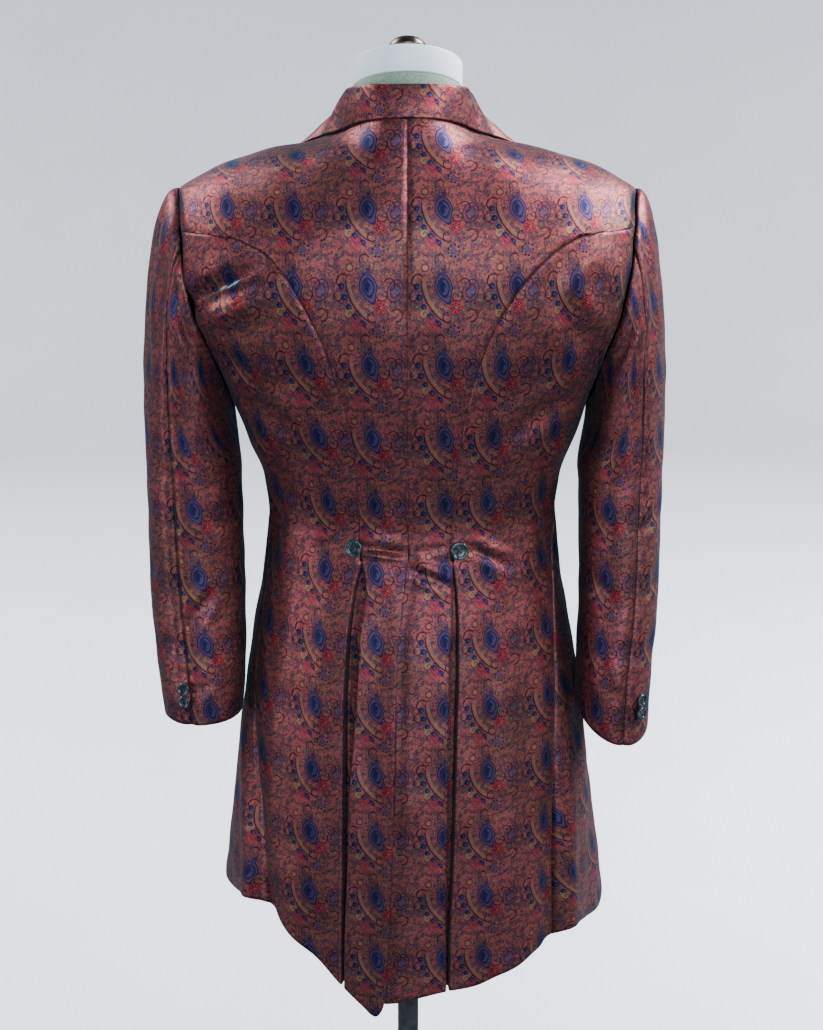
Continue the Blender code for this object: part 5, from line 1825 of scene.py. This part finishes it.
    def collar(self) -> None:
        """Collar: its stand, and the fall that folds over it and shows."""
        share = np.concatenate([np.linspace(1.0, 0.0, 60)[:-1], np.linspace(0.0, 1.0, 60)])
        side = np.concatenate([np.full(59, -1.0), np.full(60, 1.0)])
        values = self.COLLAR(share)
        fold = np.stack([side * values[:, 0], values[:, 1], values[:, 2]], -1)
        away = unit(fold * (1, 1, 0) - (0.0, self.NECK_DEPTH, 0.0))
        upward = np.array((0.0, 0.0, 1.0))
        edge = side * values[:, 3], values[:, 4]
        outward = BODY.normal(*edge)
        low = BODY.point(*edge) + outward * (0.0011 + WALL)
        top = fold + away * 0.0012
        coarse = np.stack([
            low, blend(low, top, 0.28) + outward * 0.0008,
            blend(low, top, 0.55) + unit(away + upward) * 0.0014, top, fold + upward * 0.0008,
            fold - (away + upward) * 0.0018])
        index = np.concatenate([np.linspace(0, 3, 22)[:-1], np.linspace(3, 5, 9)])
        points = Curve(range(6), coarse)(index)
        cloth = pairs(lengths(points, 1), lengths(points, 0))
        cloth[..., 0] -= cloth[:, 59:60, 0]
        fall = Panel("collar_fall_leaf", points, grid_normals(points), cloth + (0.0, 0.1))
        fall.waver(0.0004, 0.030)
        self.dress(fall, "collar_fall")

        foot = BODY.point(side * values[:, 5], values[:, 6])
        head = fold - away * WALL - upward * 0.0042
        foot = foot + unit(head - foot) * 0.0006
        coarse = np.stack([foot, (foot + head) / 2 - away * 0.0008, head])
        points = Curve(range(3), coarse)(np.linspace(0, 2, 9))
        cloth = pairs(lengths(points, 1), lengths(points, 0))
        stand = Panel("collar_stand_leaf", points, grid_normals(points), cloth)
        self.dress(stand, "collar_stand")

    def sleeve(self, arm: Arm) -> None:
        """Two-piece sleeve: the upper piece outside and the under piece against the body.

        Args:
            arm: The form of the sleeve.
        """
        along = np.concatenate([np.linspace(0.0, 1.0, 72)[:-1], np.linspace(1.0, 2.0, 68)])[:, None]
        shares = np.linspace(0.0, 1.0, 50)[None]
        hind = arm.hind_seam(along)
        for name, first, last in (("upper_sleeve", arm.fore_seam - 360.0 + 0 * hind, hind),
                                  ("under_sleeve", hind, arm.fore_seam + 0 * hind)):
            turn = blend(first, last, shares)
            points, normals = arm.point(turn, along), arm.normal(turn, along)
            around, down = lengths(points, 1), lengths(points, 0)
            seam = -1 if name == "upper_sleeve" else 0
            around = -arm.side.value * (around - around[:, seam][:, None])
            down = down[71:72] - down
            cloth = pairs(around + (0.012 if arm.side is Side.LEFT else -0.004), down + 0.031)
            panel = Panel(f"{name}_piece_{arm.side.label}", points, normals, cloth)
            panel.crease(arm.creases, arm.point)
            panel.waver(0.0007, 0.050)
            panel.open_seams()
            panel.pucker(seam, depth=0.0030, reach=0.0050, ripple=0.0008)
            panel.pucker(0 if seam else -1)
            panel.points += panel.normals * self.sleeve_head(turn, along)[..., None]
            self.dress(panel, f"{name}_{arm.side.label}")

    @staticmethod
    def sleeve_head(turn: np.ndarray, along: np.ndarray) -> np.ndarray:
        """The sleeve's seam at the armhole: sunk at its edge, with the cap's ease beside it."""
        ease = 0.0006 * np.sin(np.radians(turn * 9.0)) * bell((along - 0.10) / 0.07)
        return ease - 0.0011 * bell(along / 0.022)


# ---------------------------------------------------------------------------- Buttons


@dataclass(frozen=True)
class Button:
    """A sew-through button: a dished face with a raised rim, on a shank of thread."""

    node: str
    radius: float
    place: np.ndarray
    outward: np.ndarray

    def profile(self) -> list[tuple[float, float]]:
        """The outline down its outer side, as (radius, height).

        Returns:
            Pairs in metres.
        """
        thick, stem, r = 0.34 * self.radius, 0.0026, self.radius
        return [(0.0, stem + 0.55 * thick), (0.34 * r, stem + 0.555 * thick),
                (0.50 * r, stem + 0.57 * thick), (0.60 * r, stem + 0.62 * thick),
                (0.66 * r, stem + 0.74 * thick), (0.72 * r, stem + 0.90 * thick),
                (0.79 * r, stem + 0.985 * thick), (0.86 * r, stem + thick),
                (0.93 * r, stem + 0.93 * thick), (0.98 * r, stem + 0.74 * thick),
                (r, stem + 0.48 * thick), (0.985 * r, stem + 0.26 * thick),
                (0.92 * r, stem + 0.08 * thick), (0.84 * r, stem), (0.0, stem)]

    def build(self, horn: bpy.types.Material, thread: bpy.types.Material) -> None:
        """Make the button with its holes, its shank and its stitches.

        Args:
            horn: The button's material.
            thread: The stitches' material.
        """
        turn = Vector(self.outward).to_track_quat("Z", "Y").to_matrix().to_4x4()
        stand = Matrix.Translation(Vector(self.place)) @ turn
        mesh = lathe(self.profile(), 64)
        piece = add_object(f"{self.node}_horn", mesh)
        cutters = bmesh.new()
        spots = [(x * 0.19 * self.radius, y * 0.19 * self.radius) for x in (-1, 1) for y in (-1, 1)]
        for x, y in spots:
            bmesh.ops.create_cone(cutters, cap_ends=True, segments=16, radius1=0.085 * self.radius,
                                  radius2=0.085 * self.radius, depth=0.02,
                                  matrix=Matrix.Translation((x, y, 0.0)))
        data = bpy.data.meshes.new("holes")
        cutters.to_mesh(data)
        cutters.free()
        holes = add_object("holes", data)
        cut = piece.modifiers.new("Holes", "BOOLEAN")
        cut.operation = "DIFFERENCE"
        cut.object = holes
        cut.solver = "EXACT"
        bpy.context.view_layer.update()
        evaluated = piece.evaluated_get(bpy.context.evaluated_depsgraph_get())
        piece.modifiers.clear()
        piece.data = bpy.data.meshes.new_from_object(evaluated)
        bpy.data.objects.remove(holes)
        piece.data.shade_smooth()
        piece.data.set_sharp_from_angle(angle=math.radians(40))
        piece.data.transform(stand)
        piece.data.materials.clear()
        piece.data.materials.append(horn)
        register(piece, "button", self.node)
        self.sew(stand, spots, thread)

    def sew(self, stand: Matrix, spots: Sequence[tuple[float, float]],
            thread: bpy.types.Material) -> None:
        """Make the stitches across the button's face and the wound shank behind it.

        Args:
            stand: The button's place and lean.
            spots: Where its holes are.
            thread: The stitches' material.
        """
        thick, stem = 0.34 * self.radius, 0.0026
        mesh = bmesh.new()
        face = stem + 0.56 * thick
        for (ax, ay), (bx, by) in ((spots[0], spots[3]), (spots[1], spots[2])):
            length = math.hypot(bx - ax, by - ay)
            lie = Matrix.Rotation(math.atan2(by - ay, bx - ax), 4, "Z") @ Matrix.Rotation(
                math.radians(90), 4, "Y")
            middle = Matrix.Translation(((ax + bx) / 2, (ay + by) / 2, face + 0.00020))
            bmesh.ops.create_cone(mesh, cap_ends=True, segments=8, radius1=0.00032, radius2=0.00032,
                                  depth=length + 0.0004, matrix=middle @ lie)
        bmesh.ops.create_cone(mesh, cap_ends=True, segments=20, radius1=0.24 * self.radius,
                              radius2=0.18 * self.radius, depth=stem - 0.0003,
                              matrix=Matrix.Translation((0.0, 0.0, stem / 2 + 0.0001)))
        mesh.transform(stand)
        data = bpy.data.meshes.new(f"{self.node}_thread")
        mesh.to_mesh(data)
        mesh.free()
        data.shade_smooth()
        data.materials.append(thread)
        register(add_object(f"{self.node}_thread", data), "button", self.node)


def lathe(profile: Sequence[tuple[float, float]], sides: int) -> bpy.types.Mesh:
    """A turned mesh from an outline of (radius, height) that runs from axis to axis.

    Args:
        profile: The outline.
        sides: How many flats go round.

    Returns:
        The mesh.
    """
    mesh = bmesh.new()
    rings = []
    for radius, height in profile:
        if radius < 1e-7:
            rings.append([mesh.verts.new((0.0, 0.0, height))])
            continue
        rings.append([mesh.verts.new((radius * math.cos(2 * math.pi * i / sides),
                                      radius * math.sin(2 * math.pi * i / sides), height))
                      for i in range(sides)])
    for upper, lower in zip(rings, rings[1:]):
        for i in range(sides):
            j = (i + 1) % sides
            corners = [upper[i % len(upper)], lower[i % len(lower)], lower[j % len(lower)],
                       upper[j % len(upper)]]
            mesh.faces.new(list(dict.fromkeys(corners)))
    bmesh.ops.recalc_face_normals(mesh, faces=mesh.faces)
    data = bpy.data.meshes.new("turned")
    mesh.to_mesh(data)
    mesh.free()
    return data


def open_lathe(profile: Sequence[tuple[float, float]], sides: int) -> bpy.types.Mesh:
    """A bowl from an outline of (radius, height) that starts on the axis, facing inwards.

    Args:
        profile: The outline.
        sides: How many flats go round.

    Returns:
        The mesh.
    """
    rings = [[(radius * math.cos(2 * math.pi * i / sides), radius * math.sin(2 * math.pi * i / sides),
               height) for i in range(sides)] for radius, height in profile[1:]]
    corners = [(0.0, 0.0, profile[0][1])] + [corner for ring in rings for corner in ring]
    faces = [(0, 1 + i, 1 + (i + 1) % sides) for i in range(sides)]
    for number in range(len(rings) - 1):
        low, high = 1 + number * sides, 1 + (number + 1) * sides
        faces += [(low + i, high + i, high + (i + 1) % sides, low + (i + 1) % sides)
                  for i in range(sides)]
    mesh = bpy.data.meshes.new("bowl")
    mesh.from_pydata(corners, [], faces)
    return mesh


def all_buttons() -> list[Button]:
    """Every button of the coat, in its place on the cloth.

    Returns:
        The buttons.
    """
    buttons = []
    for side, angle, height in ((Side.LEFT, 29.6, 1.0575), (Side.RIGHT, 24.0, 1.0555)):
        outward = BODY.normal(side.value * angle, height)
        place = BODY.point(side.value * angle, height) + outward * 0.0003
        buttons.append(Button(f"waist_button_{side.label}", 0.0098, place, outward))
    for arm, turn, heights in zip(ARMS, (72.0, 52.0), ((0.892, 0.877), (0.878, 0.863))):
        for number, height in enumerate(heights, 1):
            along = arm.along_at(height, turn)
            place, outward = arm.point(turn, along), arm.normal(turn, along)
            buttons.append(Button(f"cuff_button_{arm.side.label}_{number}", 0.0072, place, outward))
    for number, height in enumerate((1.105, 1.050, 0.995), 1):
        angle = -float(BODY.angle_at(0.0, height))
        buttons.append(Button(f"front_button_{number}", 0.0098, BODY.point(angle, height),
                              BODY.normal(angle, height)))
    return buttons


# ---------------------------------------------------------------------------- Dress form


class DressForm:
    """The covered torso, its neck block and knob, and the stand below."""

    CLEARANCE = curve(((0.800, 0.046), (0.880, 0.038), (0.960, 0.028), (1.020, 0.018),
                       (1.080, 0.010), (1.150, 0.007), (1.300, 0.006), (1.512, 0.0045)))
    ARM_PLATE = 0.205
    NECK_RADIUS = 0.0575
    NECK_DEPTH = -0.003
    NECK_SLOPE = 0.40
    BLOCK_FOOT = 1.5231
    BLOCK_TOP = 1.5500

    def neck(self, angle: np.ndarray, level: float, radius: float, slope: float) -> np.ndarray:
        """Points round the neck, where each level slopes down to the front.

        Args:
            angle: Degrees round.
            level: The height at the axis.
            radius: Metres.
            slope: The drop for each metre to the front.

        Returns:
            Points.
        """
        x = radius * np.sin(np.radians(angle))
        y = self.NECK_DEPTH - radius * np.cos(np.radians(angle))
        return np.stack([x, y, level - slope * y], -1)

    def torso(self, cover: bpy.types.Material) -> bpy.types.Object:
        """The torso under the coat, up to the slanted top of its cover.

        Args:
            cover: Its material.

        Returns:
            The piece.
        """
        sides = 96
        angles = np.linspace(0.0, 360.0, sides, endpoint=False)
        heights = np.concatenate([np.linspace(0.800, 1.420, 60), np.linspace(1.426, 1.477, 14)])
        rings = []
        for height in heights:
            ridge = np.abs(np.abs((angles + 180.0) % 360.0 - 180.0) - 90.0)
            seated = smooth_step(height, 1.428, 1.434) * smooth_step(-height, -1.477, -1.470)
            seated = seated * smooth_step(-ridge, -28.6, 0.0)
            gap = blend(self.CLEARANCE(height), 0.0004, seated)
            outward = BODY.normal(angles, height, False)
            ring = BODY.point(angles, height, False) - outward * (WALL + gap)[..., None]
            ring[:, 0] = np.clip(ring[:, 0], -self.ARM_PLATE, self.ARM_PLATE)
            if height == heights[0]:
                ring[:, 2] = height
            rings.append(ring)
        root = self.neck(angles, heights[-1], 1.04 * self.NECK_RADIUS, 0.0)
        front = root[:, 1] > self.NECK_RADIUS / 2
        rings[-1][front, 1] = np.maximum(rings[-1][front, 1], root[front, 1])
        low = self.neck(angles, 1.4925, 1.04 * self.NECK_RADIUS, 0.15)
        high = self.neck(angles, 1.5225, self.NECK_RADIUS, self.NECK_SLOPE)
        rings += [blend(rings[-1], low, 0.5), low, blend(low, high, 0.5), blend(low, high, 0.94),
                  high - unit(high - high.mean(0)) * 0.0006]
        mesh = bmesh.new()
        made = [[mesh.verts.new(point) for point in ring] for ring in rings]
        for lower, upper in zip(made, made[1:]):
            for i in range(sides):
                j = (i + 1) % sides
                mesh.faces.new((lower[i], lower[j], upper[j], upper[i]))
        mesh.faces.new(list(reversed(made[0])))
        mesh.faces.new(made[-1])
        data = bpy.data.meshes.new("form_cover")
        mesh.to_mesh(data)
        mesh.free()
        data.shade_smooth()
        data.set_sharp_from_angle(angle=math.radians(60))
        data.materials.append(cover)
        piece = register(add_object("form_cover", data), "form_cover", "form_torso")
        return piece

    def block(self, paint: bpy.types.Material) -> bpy.types.Object:
        """The neck block: a cylinder with eased rims, sheared so that its ends slope forward.

        Args:
            paint: Its material.

        Returns:
            The piece.
        """
        depth, radius, ease = self.BLOCK_TOP - self.BLOCK_FOOT, self.NECK_RADIUS, 0.0018
        turns = np.radians(np.linspace(0.0, 90.0, 6))
        top = [(radius - ease + ease * math.sin(a), depth - ease + ease * math.cos(a)) for a in turns]
        foot = [(radius - ease + ease * math.sin(a), ease - ease * math.cos(a)) for a in turns[::-1]]
        mesh = lathe([(0.0, depth), *top, *foot, (0.0, 0.0)], 128)
        shear = Matrix(((1, 0, 0, 0), (0, 1, 0, self.NECK_DEPTH), (0, -self.NECK_SLOPE, 1,
                       self.BLOCK_FOOT - self.NECK_SLOPE * self.NECK_DEPTH), (0, 0, 0, 1)))
        mesh.transform(shear)
        mesh.shade_smooth()
        mesh.set_sharp_from_angle(angle=math.radians(50))
        mesh.materials.append(paint)
        return register(add_object("neck_block_painted", mesh), "neck_block", "form_neck")

    def knob(self, metal: bpy.types.Material) -> bpy.types.Object:
        """The knob on the neck block, square to its sloping top.

        Args:
            metal: Its material.

        Returns:
            The piece.
        """
        height = 0.030
        profile = [(0.0, height), (0.0040, height - 0.0002), (0.0080, height - 0.0008),
                   (0.0118, height - 0.0019), (0.0150, height - 0.0035), (0.0176, height - 0.0058),
                   (0.0193, height - 0.0085), (0.0200, height - 0.0108), (0.0200, height - 0.0124),
                   (0.0190, height - 0.0138), (0.0165, height - 0.0150), (0.0130, height - 0.0162),
                   (0.0105, height - 0.0172), (0.0100, height - 0.0190), (0.0100, 0.0052),
                   (0.0112, 0.0040), (0.0150, 0.0036), (0.0160, 0.0028), (0.0160, 0.0003), (0.0, 0.0003)]
        mesh = lathe(profile, 96)
        lean = Matrix.Rotation(-math.atan(self.NECK_SLOPE), 4, "X")
        mesh.transform(Matrix.Translation((0.0, 0.0, self.BLOCK_TOP)) @ lean)
        mesh.shade_smooth()
        mesh.set_sharp_from_angle(angle=math.radians(50))
        mesh.materials.append(metal)
        return register(add_object("knob_turned", mesh), "knob", "form_knob")

    def stand(self, pole: bpy.types.Material, base: bpy.types.Material) -> None:
        """Finish the pole and the base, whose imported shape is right.

        Args:
            pole: The pole's material.
            base: The base's material.
        """
        for name, material in (("form_pole", pole), ("form_base", base)):
            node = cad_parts[name]
            node.data.materials.clear()
            node.data.materials.append(material)


# ---------------------------------------------------------------------------- Studio


@dataclass(frozen=True)
class Lamp:
    """A soft lamp that points at a place."""

    name: str
    place: tuple[float, float, float]
    aim: tuple[float, float, float]
    size: tuple[float, float]
    power: float
    colour: Colour = (1.0, 1.0, 1.0)

    def build(self) -> None:
        """Hang the lamp."""
        light = bpy.data.lights.new(self.name, "AREA")
        light.shape = "RECTANGLE"
        light.size, light.size_y = self.size
        light.energy = self.power
        light.color = self.colour
        lamp = bpy.data.objects.new(self.name, light)
        lamp.location = self.place
        lamp.rotation_euler = (Vector(self.aim) - Vector(self.place)).to_track_quat("-Z", "Y").to_euler()
        bpy.context.scene.collection.objects.link(lamp)


class Studio:
    """The floor, the lamps, the room's own light and the camera."""

    LAMPS = (
        Lamp("key_right", (2.8, -1.5, 2.5), (0.1, 0.0, 1.1), (0.9, 1.4), 44.0, (1.0, 0.96, 0.92)),
        Lamp("fill_left", (-2.9, -1.3, 1.1), (-0.1, 0.0, 1.0), (0.9, 1.4), 20.0, (0.97, 0.98, 1.0)),
        Lamp("front", (0.3, -3.4, 2.2), (0.0, 0.0, 1.0), (2.6, 2.6), 84.0, (0.74, 0.90, 1.0)),
        Lamp("backdrop_left", (-2.6, 1.6, 3.2), (-1.6, 2.6, 0.0), (2.0, 2.0), 190.0),
        Lamp("backdrop_right", (2.4, 1.0, 3.2), (1.8, 2.2, 0.0), (2.0, 2.0), 330.0),
    )

    def build(self) -> None:
        """Set the studio up."""
        flat, bend, top = 4.5, 2.0, 5.0
        turns = np.radians(np.linspace(0.0, 90.0, 13))
        outline = [(0.0, 0.0), *zip(flat + bend * np.sin(turns), bend - bend * np.cos(turns)),
                   (flat + bend, top)]
        mesh = open_lathe(outline, 96)
        mesh.shade_smooth()
        mesh.materials.append(StudioFloor().material())
        sweep = add_object("studio_sweep", mesh)
        sweep.visible_glossy = False
        sweep.visible_diffuse = False
        sweep.visible_shadow = False
        for lamp in self.LAMPS:
            lamp.build()
        world = bpy.data.worlds.new("studio_room")
        world.use_nodes = True
        background = world.node_tree.nodes["Background"]
        background.inputs["Color"].default_value = (0.70, 0.86, 1.00, 1.0)
        background.inputs["Strength"].default_value = 0.24
        bpy.context.scene.world = world
        bpy.context.scene.view_settings.look = "AgX - Medium High Contrast"
        camera = bpy.data.cameras.new("camera")
        camera.lens = 60.147
        camera.sensor_width = 36.0
        camera.sensor_fit = "AUTO"
        camera.dof.use_dof = False
        view = bpy.data.objects.new("camera", camera)
        view.location = (0.0042, -1.85, 1.62)
        view.rotation_euler = (math.radians(73.2), 0.0, 0.0)
        bpy.context.scene.collection.objects.link(view)
        bpy.context.scene.camera = view


def main() -> None:
    """Build every piece in order, then set up the studio."""
    logging.basicConfig(level=logging.INFO, format="%(message)s")
    coat = Coat(ShotSilk().material())
    for side in Side:
        coat.back(side)
        coat.side_back(side)
        coat.front(side)
        coat.lapel(side)
    coat.collar()
    for arm in ARMS:
        coat.sleeve(arm)
    horn, thread = Horn().material(), Thread().material()
    for button in all_buttons():
        button.build(horn, thread)
    form = DressForm()
    form.torso(KnitCover().material())
    form.block(PaintedBlock().material())
    form.knob(WornMetal("dark_metal", (0.080, 0.062, 0.055), (0.210, 0.165, 0.140)).material())
    form.stand(WornMetal("pole_metal", (0.160, 0.160, 0.165), (0.300, 0.295, 0.290)).material(),
               WornMetal("base_enamel", (0.060, 0.060, 0.064), (0.140, 0.138, 0.135), 0.40).material())
    Studio().build()


if __name__ == "__main__":
    main()
